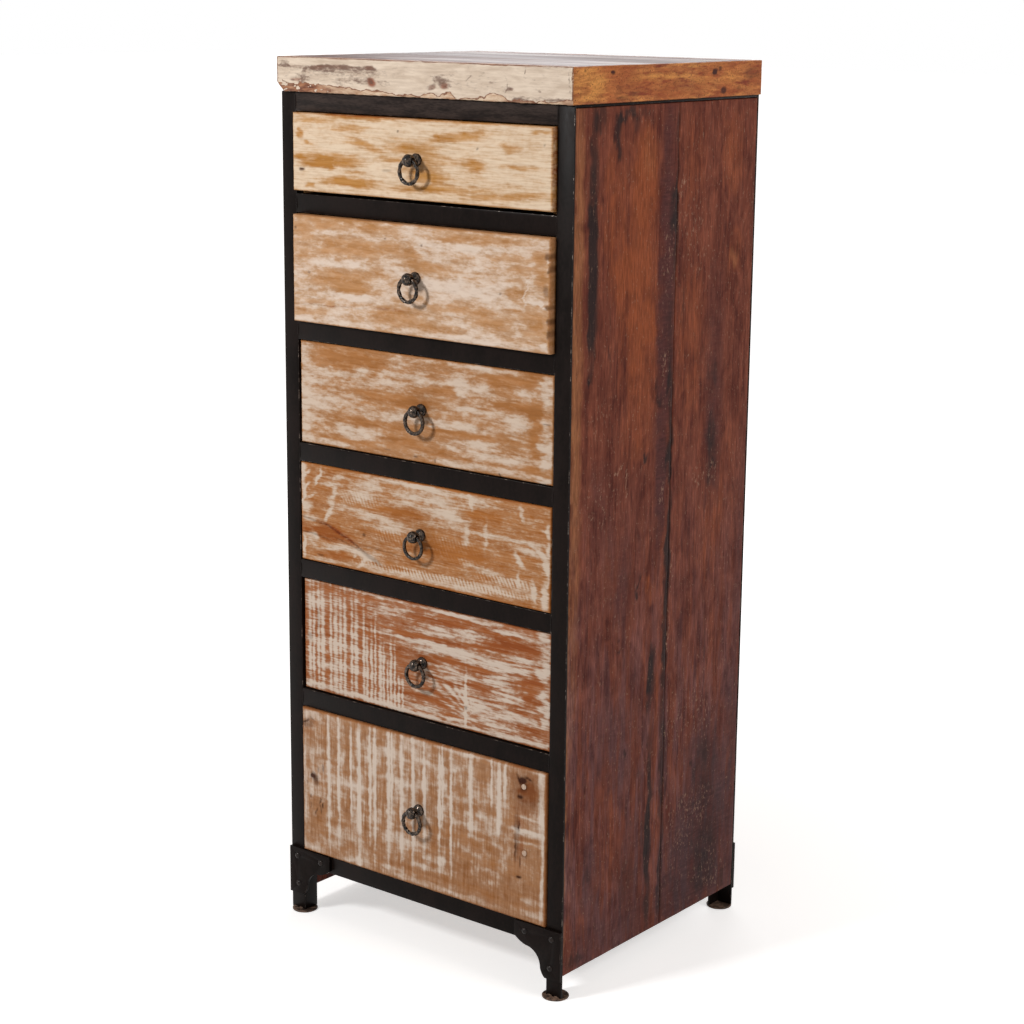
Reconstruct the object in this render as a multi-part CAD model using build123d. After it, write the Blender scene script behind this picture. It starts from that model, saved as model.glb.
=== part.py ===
from build123d import *
import os
from math import sqrt

# Tall chest with six drawers: a welded frame of steel angle carries plank sides, a thick edged top,
# drawers with painted fronts, and ring pulls. Millimetres, +Z up, and the drawers open towards -Y.
# The origin is on the floor, under the middle of the whole chest.

# Steel angle frame
frame_width = 484.0
frame_depth = 408.0
angle_leg = 25.0
angle_wall = 3.0
floor_clearance = 71.0
opening_heights = [108.0, 145.0, 142.0, 139.0, 161.0, 214.0]
runner_width = 20.0
back_bar_height = 25.0

# Feet and their riveted brackets
foot_radius = 18.0
foot_thickness = 3.0
foot_inset = 9.0
bracket_width = 76.0
bracket_plate = 4.0
bracket_drop = 68.5
bracket_end_height = 21.0
bracket_arc_radius = 24.5
bracket_throat = 32.5
bracket_scallop = 13.0
bracket_bulge = 1.5
rivet_head_radius = 4.5
rivet_head_height = 2.5
rivet_shank_radius = 2.5
rivet_gap = 0.1
rivet_top_drop = 12.0
rivet_leg_drop = 53.0
rivet_corner_inset = 14.5
rivet_end_inset = 59.0
rivet_leg_inset = 16.5

# Wooden walls
plank_bottom = 34.0
plank_top_gap = 1.0
front_plank_width = 219.0
plank_seam = 0.6
back_board_thickness = 10.0
back_board_count = 3
back_board_gap = 0.5

# Edged top
top_thickness = 45.0
top_board_thickness = 22.0
top_board_count = 4
top_board_gap = 0.3
top_front_overhang = 6.5
top_back_overhang = 1.5
top_side_overhang = 2.5
front_strip_width = 22.0
back_strip_width = 12.0
side_strip_width = 5.0
top_round = 1.5
batten_width = 40.0
batten_spacing = 150.0
batten_count = 3

# Countersunk screws
screw_head_radius = 3.4
screw_head_height = 1.8
screw_shank_radius = 1.8
screw_length = 12.0
screw_gap = 0.1
plank_screw_inset = 14.0
top_screw_inset = 20.5

# Drawers, from the top one down, and how far each closed front stands out of the frame
fronts_proud = [8.0, 10.0, -2.0, 0.0, -4.0, 3.0]
front_bottom_gaps = [4.8, 1.0, 1.0, 1.0, 1.0, 1.0]
front_top_gap = 1.4
drawer_side_gap = 1.5
front_thickness = 20.0
front_round = 1.5
drawer_wall = 12.0
drawer_wall_drop = 6.0
runner_gap = 0.3
stop_gap = 0.3
bottom_thickness = 5.0
bottom_height = 7.0
groove_depth = 5.0
groove_gap = 0.1

# Ring pulls, and how far each sits above the middle of its front
rose_radius = 8.5
rose_rim = 2.0
rose_height = 6.0
rose_bulge = 0.9
neck_radius = 4.0
ball_radius = 8.25
ball_reach = 15.5
stud_radius = 2.4
stud_gap = 0.1
stud_tail = 3.0
nut_flats = 9.0
nut_thickness = 4.0
ring_radius = 15.0
ring_wire_radius = 2.4
ring_clearance = 0.3
pull_lifts = [0.0, 4.0, 0.0, -1.0, -2.0, 4.5]

# Places across the chest
half_width = frame_width / 2
inner_half = half_width - angle_leg
plank_inner = inner_half + angle_wall
drawer_half = inner_half - drawer_side_gap
top_half = half_width + top_side_overhang

# Places from front to back
front_reach = max(fronts_proud) + ball_reach + ball_radius
back_reach = max(bracket_plate + rivet_head_height, foot_radius - foot_inset)
front_y = front_reach - (frame_depth + front_reach + back_reach) / 2
back_y = front_y + frame_depth
back_board_front = back_y - angle_wall - back_board_thickness
drawer_end = back_board_front - stop_gap
top_front = front_y - top_front_overhang
top_back = back_y + top_back_overhang
boards_front = top_front + front_strip_width
boards_back = top_back - back_strip_width

# Heights
drawers = range(len(opening_heights))
bottom_rail_top = floor_clearance + angle_leg
frame_top = bottom_rail_top + sum(opening_heights) + len(opening_heights) * angle_leg
chest_top = frame_top + top_thickness
board_low = chest_top - top_board_thickness
plank_top = frame_top - angle_wall - plank_top_gap
opening_tops = [frame_top - angle_leg * (i + 1) - sum(opening_heights[:i]) for i in drawers]
opening_bottoms = [top - height for top, height in zip(opening_tops, opening_heights)]
front_lows = [low + gap for low, gap in zip(opening_bottoms, front_bottom_gaps)]
front_highs = [top - front_top_gap for top in opening_tops]
pull_heights = [(low + high) / 2 + lift for low, high, lift in zip(front_lows, front_highs, pull_lifts)]
fronts_y = [front_y - proud for proud in fronts_proud]

# The ring's arc sags inside the ball's straight cross hole, which is as much wider than the wire
ring_sag = ring_radius - sqrt(ring_radius**2 - ball_radius**2)
ring_drop = ring_radius - ring_sag / 2
bore_radius = ring_wire_radius + ring_sag / 2 + ring_clearance


def block(x_range, y_range, z_range):
    """A box between two limits on each axis."""
    ranges = (x_range, y_range, z_range)
    middle = [(low + high) / 2 for low, high in ranges]
    return Pos(*middle) * Box(*[high - low for low, high in ranges])


def bar_along_depth(radius, y_range, x, z):
    """A round bar along Y."""
    middle = (y_range[0] + y_range[1]) / 2
    return Pos(x, middle, z) * Rot(90, 0, 0) * Cylinder(radius, y_range[1] - y_range[0])


def spread(count, low, high, gap):
    """Equal spans that fill a width, with a gap between neighbours."""
    width = (high - low - gap * (count - 1)) / count
    starts = [low + i * (width + gap) for i in range(count)]
    return [(start, start + width) for start in starts]


def mirrored(shape):
    """The same piece on the left of the chest."""
    return mirror(shape, about=Plane.YZ)


def turned_back(shape):
    """The same piece on the back of the frame."""
    return mirror(shape, about=Plane.XZ.offset(-(front_y + back_y) / 2))


def save(name, *pieces):
    """Write one piece, or a group of like pieces, under its name."""
    shape = pieces[0] if len(pieces) == 1 else Compound(children=list(pieces))
    export_step(shape, f"parts/{name}.step")


def countersunk(gap=0.0):
    """A screw along +Z with its flat head at the origin; with a gap it is the hole for one."""
    shank_length = screw_length + gap - screw_head_height
    head = Cone(screw_head_radius + gap, screw_shank_radius + gap, screw_head_height)
    shank = Cylinder(screw_shank_radius + gap, shank_length)
    seat = Pos(0, 0, screw_head_height / 2) * head
    return seat + Pos(0, 0, screw_head_height + shank_length / 2) * shank


def screws_at(places, gap=0.0):
    """Screws, or holes for them, at points with a direction."""
    return [Plane(origin=point, z_dir=way).location * countersunk(gap) for point, way in places]


def drilled(shape, places):
    """A piece with its screw holes."""
    return shape - screws_at(places, screw_gap)


def plank_screws(y):
    """Places of the screws from a right post's inner flange into the plank beside it."""
    heights = [(low + high) / 2 for low, high in zip(opening_bottoms, opening_tops)]
    return [((inner_half, y, z), (1, 0, 0)) for z in heights]


def top_screws(y):
    """Places of the screws up through a top rail, one into each batten."""
    return [((x, y, frame_top - angle_wall), (0, 0, 1)) for x in batten_middles]


def back_screws(z):
    """Places of the screws through a back bar, one into each back board."""
    return [(((low + high) / 2, back_y, z), (0, -1, 0)) for low, high in back_spans]


def rivet_places():
    """Rivet centres in the front right bracket, with what lies behind the plate."""
    upper = bottom_rail_top - rivet_top_drop
    lower = bottom_rail_top - rivet_leg_drop
    return [
        ("post", half_width - rivet_corner_inset, upper),
        ("rail", half_width - rivet_end_inset, upper),
        ("post", half_width - rivet_leg_inset, lower),
    ]


def rivet_holes(behind):
    """Rivet holes through the front right bracket and the post or rail behind it."""
    y_range = (front_y - bracket_plate, front_y + angle_wall)
    radius = rivet_shank_radius + rivet_gap
    return [bar_along_depth(radius, y_range, x, z) for name, x, z in rivet_places() if name == behind]


def rivet(x, z):
    """Domed rivet through the bracket plate and the flange behind it."""
    plate_face = front_y - bracket_plate
    crown = plate_face - rivet_head_height
    shank = bar_along_depth(rivet_shank_radius, (plate_face, front_y + angle_wall), x, z)
    dome_radius = (rivet_head_radius**2 + rivet_head_height**2) / (2 * rivet_head_height)
    dome = Pos(x, crown + dome_radius, z) * Sphere(dome_radius)
    return shank + (dome & bar_along_depth(rivet_head_radius, (crown, plate_face), x, z))


def corner_post():
    """Front right angle post: one flange faces front, the other edges the drawer openings."""
    z_range = (foot_thickness, frame_top)
    face = block((inner_half, half_width), (front_y, front_y + angle_wall), z_range)
    inner = block((inner_half, plank_inner), (front_y, front_y + angle_leg), z_range)
    return drilled(face + inner, plank_screws(front_y + plank_screw_inset)) - rivet_holes("post")


def front_rail(top):
    """Angle rail between the front posts, with its flat flange on top."""
    x_range = (-inner_half, inner_half)
    face = block(x_range, (front_y, front_y + angle_wall), (top - angle_leg, top))
    return face + block(x_range, (front_y, front_y + angle_leg), (top - angle_wall, top))


def top_side_rail():
    """Angle rail over the right side planks."""
    lid_y = (front_y + angle_wall, back_y - angle_wall)
    leg_y = (front_y + angle_leg, back_y - angle_leg)
    lid = block((plank_inner, half_width), lid_y, (frame_top - angle_wall, frame_top))
    return lid + block((inner_half, plank_inner), leg_y, (frame_top - angle_leg, frame_top))


def runner(top):
    """Angle runner on the right wall, level with the front rail."""
    y_range = (front_y + angle_leg, back_y - angle_leg)
    wall = block((inner_half, plank_inner), y_range, (top - angle_leg, top))
    return wall + block((inner_half - runner_width, inner_half), y_range, (top - angle_wall, top))


def back_bar(middle):
    """Flat bar between the back posts."""
    z_range = (middle - back_bar_height / 2, middle + back_bar_height / 2)
    bar = block((-inner_half, inner_half), (back_y - angle_wall, back_y), z_range)
    return drilled(bar, back_screws(middle))


def foot_bracket():
    """Front right bracket plate: a hollow curve with a small scallop at each end."""
    end_x = half_width - bracket_width
    end = (end_x, bottom_rail_top - bracket_end_height)
    leg = (inner_half, bottom_rail_top - bracket_drop)
    arc_low = (half_width - bracket_throat, leg[1] + bracket_scallop)
    arc_top = (arc_low[0] - bracket_arc_radius, arc_low[1] + bracket_arc_radius)
    lean = bracket_arc_radius / sqrt(2)
    arc_middle = (arc_top[0] + lean, arc_low[1] + lean)
    end_middle = ((end[0] + arc_top[0]) / 2, (end[1] + arc_top[1]) / 2 - bracket_bulge)
    leg_middle = ((leg[0] + arc_low[0]) / 2 - bracket_bulge, (leg[1] + arc_low[1]) / 2)
    outline = [
        Polyline(leg, (half_width, leg[1]), (half_width, bottom_rail_top), (end_x, bottom_rail_top), end),
        ThreePointArc(end, end_middle, arc_top),
        ThreePointArc(arc_top, arc_middle, arc_low),
        ThreePointArc(arc_low, leg_middle, leg),
    ]
    sheet = make_face([edge for line in outline for edge in line.edges()])
    plate = extrude(Plane.XZ.offset(-front_y) * sheet, bracket_plate)
    return plate - rivet_holes("post") - rivet_holes("rail")


def foot_disc():
    """Round plate under the front right post."""
    place = Pos(inner_half + foot_inset, front_y + foot_inset, foot_thickness / 2)
    return place * Cylinder(foot_radius, foot_thickness)


def side_plank(y_range, screw_y):
    """Right side plank, behind the posts' outer flanges."""
    plank = block((plank_inner, half_width), y_range, (plank_bottom, plank_top))
    return drilled(plank, plank_screws(screw_y))


def back_board(span):
    """Upright board inside the back bars."""
    board = block(span, (back_board_front, back_y - angle_wall), (floor_clearance, plank_top))
    return drilled(board, [place for z in back_bar_middles for place in back_screws(z)])


def edge_strip(outline):
    """Strip round the top, cut to its outline seen from above."""
    return Pos(0, 0, frame_top) * extrude(make_face(Polyline(*outline, close=True)), top_thickness, dir=(0, 0, 1))


def worn(strip, face_axis, side, edge_axis):
    """A strip with the long edges of its outer face worn round."""
    return fillet(strip.faces().sort_by(face_axis)[side].edges().filter_by(edge_axis), top_round)


def top_batten(middle):
    """Batten under the top boards, screwed to both top rails."""
    x_range = (middle - batten_width / 2, middle + batten_width / 2)
    batten = block(x_range, (boards_front, boards_back), (frame_top, board_low))
    both = top_screws(front_y + top_screw_inset) + top_screws(back_y - top_screw_inset)
    return drilled(batten, both)


def bottom_panel(i, gap=0.0):
    """Drawer bottom that lies in grooves; with a gap it is the space for it."""
    half = drawer_half - drawer_wall + groove_depth + gap
    start = fronts_y[i] + front_thickness - groove_depth - gap
    low = opening_bottoms[i] + runner_gap + bottom_height
    return block((-half, half), (start, drawer_end), (low - gap, low + bottom_thickness + gap))


def drawer_front(i):
    """Front board, drilled for the pull and grooved for the bottom."""
    y_range = (fronts_y[i], fronts_y[i] + front_thickness)
    board = block((-drawer_half, drawer_half), y_range, (front_lows[i], front_highs[i]))
    board = fillet(board.faces().sort_by(Axis.Y)[0].edges(), front_round)
    stud_hole = bar_along_depth(stud_radius + stud_gap, y_range, 0, pull_heights[i])
    return board - stud_hole - bottom_panel(i, groove_gap)


def drawer_side(i):
    """Right side board of a drawer, standing on its runner."""
    y_range = (fronts_y[i] + front_thickness, drawer_end)
    z_range = (opening_bottoms[i] + runner_gap, opening_tops[i] - drawer_wall_drop)
    return block((drawer_half - drawer_wall, drawer_half), y_range, z_range) - bottom_panel(i, groove_gap)


def drawer_back(i):
    """Back board between the drawer sides, standing on the bottom panel."""
    half = drawer_half - drawer_wall
    low = opening_bottoms[i] + runner_gap + bottom_height + bottom_thickness
    z_range = (low, opening_tops[i] - drawer_wall_drop)
    return block((-half, half), (drawer_end - drawer_wall, drawer_end), z_range)


def pull(i):
    """Cast pull: rose, neck, ball with a cross hole, and a stud through the front board."""
    rim = (rose_radius, -rose_rim)
    neck = (neck_radius, -rose_height)
    swell = ((rim[0] + neck[0]) / 2 + rose_bulge, (rim[1] + neck[1]) / 2 - rose_bulge)
    stud_end = front_thickness + nut_thickness + stud_tail
    ball_back = (neck_radius, sqrt(ball_radius**2 - neck_radius**2) - ball_reach)
    ball_front = (0, -ball_reach - ball_radius)
    outline = [
        Polyline(ball_front, (0, stud_end), (stud_radius, stud_end), (stud_radius, 0), (rose_radius, 0), rim),
        ThreePointArc(rim, swell, neck),
        Line(neck, ball_back),
        ThreePointArc(ball_back, (ball_radius, -ball_reach), ball_front),
    ]
    body = revolve(make_face([edge for line in outline for edge in line.edges()]), Axis.Y)
    bore = Pos(0, -ball_reach, 0) * Rot(0, 90, 0) * Cylinder(bore_radius, 2 * ball_radius)
    return Pos(0, fronts_y[i], pull_heights[i]) * (body - bore)


def pull_nut(i):
    """Hexagon nut behind the front board."""
    seat = fronts_y[i] + front_thickness
    hexagon = extrude(RegularPolygon(nut_flats / 2, 6, major_radius=False), nut_thickness)
    nut = Pos(0, seat, pull_heights[i]) * Rot(-90, 0, 0) * hexagon
    return nut - bar_along_depth(stud_radius + stud_gap, (seat, seat + nut_thickness), 0, pull_heights[i])


def ring(i):
    """Round ring that hangs through the ball's cross hole."""
    place = Pos(0, fronts_y[i] - ball_reach, pull_heights[i] - ring_drop)
    return place * Rot(90, 0, 0) * Torus(ring_radius, ring_wire_radius)


os.makedirs("parts", exist_ok=True)

# Rows of like pieces across the chest
batten_middles = [batten_spacing * (i - (batten_count - 1) / 2) for i in range(batten_count)]
back_half = inner_half - back_board_gap
back_spans = spread(back_board_count, -back_half, back_half, back_board_gap)
back_bar_middles = [floor_clearance + back_bar_height / 2, (floor_clearance + frame_top) / 2]

# Posts
post = corner_post()
save("front_right_post", post)
save("front_left_post", mirrored(post))
save("back_right_post", turned_back(post))
save("back_left_post", mirrored(turned_back(post)))

# Rails, bars and runners
top_rail = drilled(front_rail(frame_top), top_screws(front_y + top_screw_inset))
save("top_cross_rails", top_rail, turned_back(top_rail))
save("top_side_rails", top_side_rail(), mirrored(top_side_rail()))
save("front_drawer_rails", *[front_rail(low) for low in opening_bottoms[:-1]])
rail_rivet_holes = rivet_holes("rail") + [mirrored(hole) for hole in rivet_holes("rail")]
save("front_bottom_rail", front_rail(bottom_rail_top) - rail_rivet_holes)
low_bar = back_bar(back_bar_middles[0]) - [turned_back(hole) for hole in rail_rivet_holes]
save("back_cross_bars", low_bar, back_bar(back_bar_middles[1]))
right_runners = [runner(low) for low in opening_bottoms]
save("drawer_runners", *right_runners, *[mirrored(piece) for piece in right_runners])

# Feet
right_brackets = [foot_bracket(), turned_back(foot_bracket())]
save("foot_brackets", *right_brackets, *[mirrored(piece) for piece in right_brackets])
front_rivets = [rivet(x, z) for _, x, z in rivet_places()]
right_rivets = front_rivets + [turned_back(piece) for piece in front_rivets]
save("bracket_rivets", *right_rivets, *[mirrored(piece) for piece in right_rivets])
right_discs = [foot_disc(), turned_back(foot_disc())]
save("foot_discs", *right_discs, *[mirrored(piece) for piece in right_discs])

# Side planks and back boards
seam_y = front_y + angle_wall + front_plank_width
right_planks = [
    side_plank((front_y + angle_wall, seam_y), front_y + plank_screw_inset),
    side_plank((seam_y + plank_seam, back_y - angle_wall), back_y - plank_screw_inset),
]
save("right_side_planks", *right_planks)
save("left_side_planks", *[mirrored(plank) for plank in right_planks])
save("back_boards", *[back_board(span) for span in back_spans])

# Top
edge_z = (frame_top, chest_top)
strip_half = top_half - side_strip_width
board_spans = spread(top_board_count, boards_front, boards_back, top_board_gap)
board_z = (board_low, chest_top)
save("top_boards", *[block((-strip_half, strip_half), span, board_z) for span in board_spans])
save("top_battens", *[top_batten(middle) for middle in batten_middles])
mitre_y = top_front + side_strip_width
half_front = [(strip_half, boards_front), (strip_half, mitre_y), (top_half, top_front)]
front_strip = edge_strip(half_front + [(-x, y) for x, y in reversed(half_front)])
save("top_front_edge", worn(front_strip, Axis.Y, 0, Axis.X))
back_strip = block((-strip_half, strip_half), (boards_back, top_back), edge_z)
save("top_back_edge", worn(back_strip, Axis.Y, -1, Axis.X))
right_strip = edge_strip([(top_half, top_front), (top_half, top_back), (strip_half, top_back), (strip_half, mitre_y)])
right_strip = worn(right_strip, Axis.X, -1, Axis.Y)
save("top_right_edge", right_strip)
save("top_left_edge", mirrored(right_strip))

# Screws
right_screws = screws_at(plank_screws(front_y + plank_screw_inset) + plank_screws(back_y - plank_screw_inset))
middle_places = top_screws(front_y + top_screw_inset) + top_screws(back_y - top_screw_inset)
middle_places += [place for z in back_bar_middles for place in back_screws(z)]
left_screws = [mirrored(piece) for piece in right_screws]
save("frame_screws", *right_screws, *left_screws, *screws_at(middle_places))

# Drawers with their pulls and rings
for i in drawers:
    name = f"drawer_{i + 1}"
    save(f"{name}_front", drawer_front(i))
    save(f"{name}_sides", drawer_side(i), mirrored(drawer_side(i)))
    save(f"{name}_back", drawer_back(i))
    save(f"{name}_bottom", bottom_panel(i))
    save(f"{name}_pull", pull(i), pull_nut(i))
    save(f"{name}_ring", ring(i))
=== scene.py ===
# %% [markdown]
# # A tall chest of six drawers
# A welded frame of steel angle carries plank sides, a thick edged top and six drawers with whitewashed
# fronts and ring pulls. The construction is already modelled and comes in as a fixed frame. This lesson
# dresses it: visible pieces are modelled again with worn edges, and each gets a finish made from nodes.

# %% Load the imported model
import math

import bmesh
import bpy
import numpy as np
from mathutils import Matrix, Vector


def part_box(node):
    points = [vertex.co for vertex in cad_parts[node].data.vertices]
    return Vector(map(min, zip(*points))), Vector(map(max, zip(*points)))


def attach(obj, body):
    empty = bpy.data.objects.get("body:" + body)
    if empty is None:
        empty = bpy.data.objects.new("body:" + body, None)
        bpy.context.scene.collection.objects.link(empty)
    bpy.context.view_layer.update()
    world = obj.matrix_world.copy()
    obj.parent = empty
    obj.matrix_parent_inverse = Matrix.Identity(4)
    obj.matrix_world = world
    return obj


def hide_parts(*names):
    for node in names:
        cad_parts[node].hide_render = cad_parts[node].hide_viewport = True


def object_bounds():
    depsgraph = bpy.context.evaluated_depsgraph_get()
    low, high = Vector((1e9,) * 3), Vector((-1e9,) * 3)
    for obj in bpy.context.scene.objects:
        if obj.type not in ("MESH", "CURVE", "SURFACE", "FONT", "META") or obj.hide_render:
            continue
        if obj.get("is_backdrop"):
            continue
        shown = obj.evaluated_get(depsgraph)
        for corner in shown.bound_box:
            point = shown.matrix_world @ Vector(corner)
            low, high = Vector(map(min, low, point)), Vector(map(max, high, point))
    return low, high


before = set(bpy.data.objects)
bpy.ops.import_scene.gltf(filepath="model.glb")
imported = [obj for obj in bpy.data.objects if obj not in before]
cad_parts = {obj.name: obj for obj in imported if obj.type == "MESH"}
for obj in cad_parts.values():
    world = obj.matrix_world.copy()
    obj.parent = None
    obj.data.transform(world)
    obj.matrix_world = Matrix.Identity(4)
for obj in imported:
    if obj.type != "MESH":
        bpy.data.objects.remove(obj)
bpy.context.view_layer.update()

mm = 0.001
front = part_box("front_right_post")[0].y

# %% [markdown]
# ## Camera
# The chest is seen from its right and from a little above. A long lens keeps the uprights nearly
# parallel. The camera could be aimed with a constraint, but its axes are written out here, because it
# also leans half a degree.

# %% Camera
swing, dip, lean = (math.radians(angle) for angle in (38.31, 13.22, 0.557))
ahead = Vector((-math.sin(swing) * math.cos(dip), math.cos(swing) * math.cos(dip), -math.sin(dip)))
level = Vector((math.cos(swing), math.sin(swing), 0.0))
upright = level.cross(ahead)
right = math.cos(lean) * level + math.sin(lean) * upright
above = math.cos(lean) * upright - math.sin(lean) * level
bpy.ops.object.camera_add()
camera = bpy.context.object
camera.data.lens = 78.81
eye = Vector((1865.5 * mm, front - 2168.2 * mm, 1293.2 * mm))
camera.matrix_world = Matrix.Translation(eye) @ Matrix((right, above, -ahead)).transposed().to_4x4()
bpy.context.scene.camera = camera
print("camera at", [round(v, 3) for v in eye], "lens", camera.data.lens)

# %% [markdown]
# ## Colours and nodes
# A colour is written as the eye knows it, in hex, and turned to linear light for the renderer. One small
# function adds a node with its settings, and sets or links what feeds it. Node names could be spelled out
# in full each time, but the finishes below are long, and short lines show their order.

# %% Colours and nodes
UNDER, OVER = 6, 7  # a Mix node's two colour sockets, whose names A and B are not theirs alone


def colour(code):
    """An sRGB hex colour as linear light."""
    parts = [int(code[i:i + 2], 16) / 255 for i in (1, 3, 5)]
    return [p / 12.92 if p <= 0.04045 else ((p + 0.055) / 1.055) ** 2.4 for p in parts] + [1.0]


def wire(tree, node, feeds):
    """Feed a node's sockets; a feed is a value, a hex colour, another node or one of its outputs."""
    for socket, feed in feeds.items():
        if isinstance(feed, bpy.types.Node):
            feed = next(output for output in feed.outputs if output.enabled)
        if isinstance(feed, bpy.types.NodeSocket):
            tree.links.new(feed, node.inputs[socket])
        else:
            node.inputs[socket].default_value = colour(feed) if isinstance(feed, str) else feed


def put(tree, kind, feeds, **settings):
    """Add a node with its settings and its feeds."""
    made = tree.nodes.new("ShaderNode" + kind)
    for key, value in settings.items():
        setattr(made, key, value)
    wire(tree, made, feeds)
    return made


print("white is", [round(v, 2) for v in colour("#FFFFFF")])

# %% [markdown]
# All wood and paint here start from one pattern: noise drawn out to real lengths in millimetres. Its
# coordinates are the object's own, so the pattern stays on a piece when a drawer slides.

# %% Pattern and new finish
def drawn_out(tree, lengths, detail=3.0, shift=0.0, warp=0.0):
    """Noise whose clouds have these lengths in mm along X, Y and Z."""
    where = put(tree, "TexCoord", {}).outputs["Object"]
    scale = [1 / (length * mm) for length in lengths]
    sized = put(tree, "Mapping", {"Vector": where, "Location": [shift] * 3, "Scale": scale})
    feeds = {"Vector": sized, "Scale": 1.0, "Detail": detail, "Roughness": 0.6, "Distortion": warp}
    return put(tree, "TexNoise", feeds)


def new_finish(name):
    """A new material with its node tree and shader."""
    made = bpy.data.materials.new(name)
    made.use_nodes = True
    return made, made.node_tree, made.node_tree.nodes["Principled BSDF"]


print("a cloud of 40 mm has the scale", 1 / (40 * mm))

# %% [markdown]
# ## Studio
# Where the camera or a mirror-like surface looks at the floor or past it, it sees plain white, as in a
# photographer's white room. Stronger lamps could bleach the background too, but a Light Path node gives
# the white without more light on the chest.

# %% White room
def white_to_the_eye(tree):
    """1 where the camera, a reflection or a clear surface looks, and 0 for other light."""
    path = put(tree, "LightPath", {})
    seen = path.outputs["Is Camera Ray"]
    for ray in ("Is Glossy Ray", "Is Transmission Ray"):
        seen = put(tree, "Math", {0: seen, 1: path.outputs[ray]}, operation="MAXIMUM")
    return seen


bpy.context.scene.view_settings.view_transform = "Standard"
room = bpy.data.worlds.new("white_room")
room.use_nodes = True
bpy.context.scene.world = room
tree = room.node_tree
seen = white_to_the_eye(tree)
strength = put(tree, "MapRange", {"Value": seen, "To Min": 0.22, "To Max": 1.0})
tint = put(tree, "Mix", {"Factor": seen, UNDER: "#FFEEDD", OVER: "#FFFFFF"}, data_type="RGBA")
wire(tree, tree.nodes["Background"], {"Color": tint, "Strength": strength})
print("world", room.name)

# %% [markdown]
# The floor is pale and takes a soft shadow. Further from the chest it gives more of its own white, so it
# has no edge against the room.

# %% Floor
bpy.ops.object.select_all(action="DESELECT")
bpy.ops.mesh.primitive_plane_add(size=60)
floor = bpy.context.object
floor.name = "studio_floor"
# matt, pale grey that holds the shadow and fades to white away from the chest
floor_paint, tree, shader = new_finish("pale_floor_paint")
away = put(tree, "VectorMath", {0: put(tree, "TexCoord", {}).outputs["Object"]}, operation="LENGTH")
glow = put(tree, "MapRange", {"Value": away, "From Min": 0.4, "From Max": 2.5, "To Min": 0.55, "To Max": 0.95})
lift = put(tree, "Math", {0: white_to_the_eye(tree), 1: glow}, operation="MULTIPLY")
wire(tree, shader, {"Base Color": "#E8E8E8", "Roughness": 0.9,
                    "Emission Color": "#FFFFFF", "Emission Strength": lift})
floor.data.materials.append(floor_paint)
floor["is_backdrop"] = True
print("floor", floor.name)

# %% [markdown]
# One lamp stands in front and high to the left, weaker ones on the right and behind, and the white room
# fills in. All are square and large, which keeps their shadows soft.

# %% Lamps
lamps = {  # place and size in metres, power in watts
    "key": ((-0.72, -2.3, 2.0), 0.45, 43.5),
    "side": ((2.4, 0.1, 2.0), 1.2, 30.0),
    "back": ((-1.4, 2.4, 2.0), 1.6, 22.0),
}
aim = Vector((0, 0, 0.8))
for name, (place, size, power) in lamps.items():
    bpy.ops.object.light_add(type="AREA", location=place)
    lamp = bpy.context.object
    lamp.name = name + "_lamp"
    lamp.data.size = size
    lamp.data.energy = power
    lamp.rotation_euler = (aim - Vector(place)).to_track_quat("-Z", "Y").to_euler()
print("lamps", list(lamps))

# %% [markdown]
# ## Whitewashed drawer fronts: the finish
# The fronts are planed mango boards, brushed with thinned white paint that was wiped off again while
# wet, so it stays in the grain and in saw marks. Paint and bare wood could be one noise pattern, but the
# six fronts differ, so each board carries painted masks of its own, and noise only frays their edges.

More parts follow.
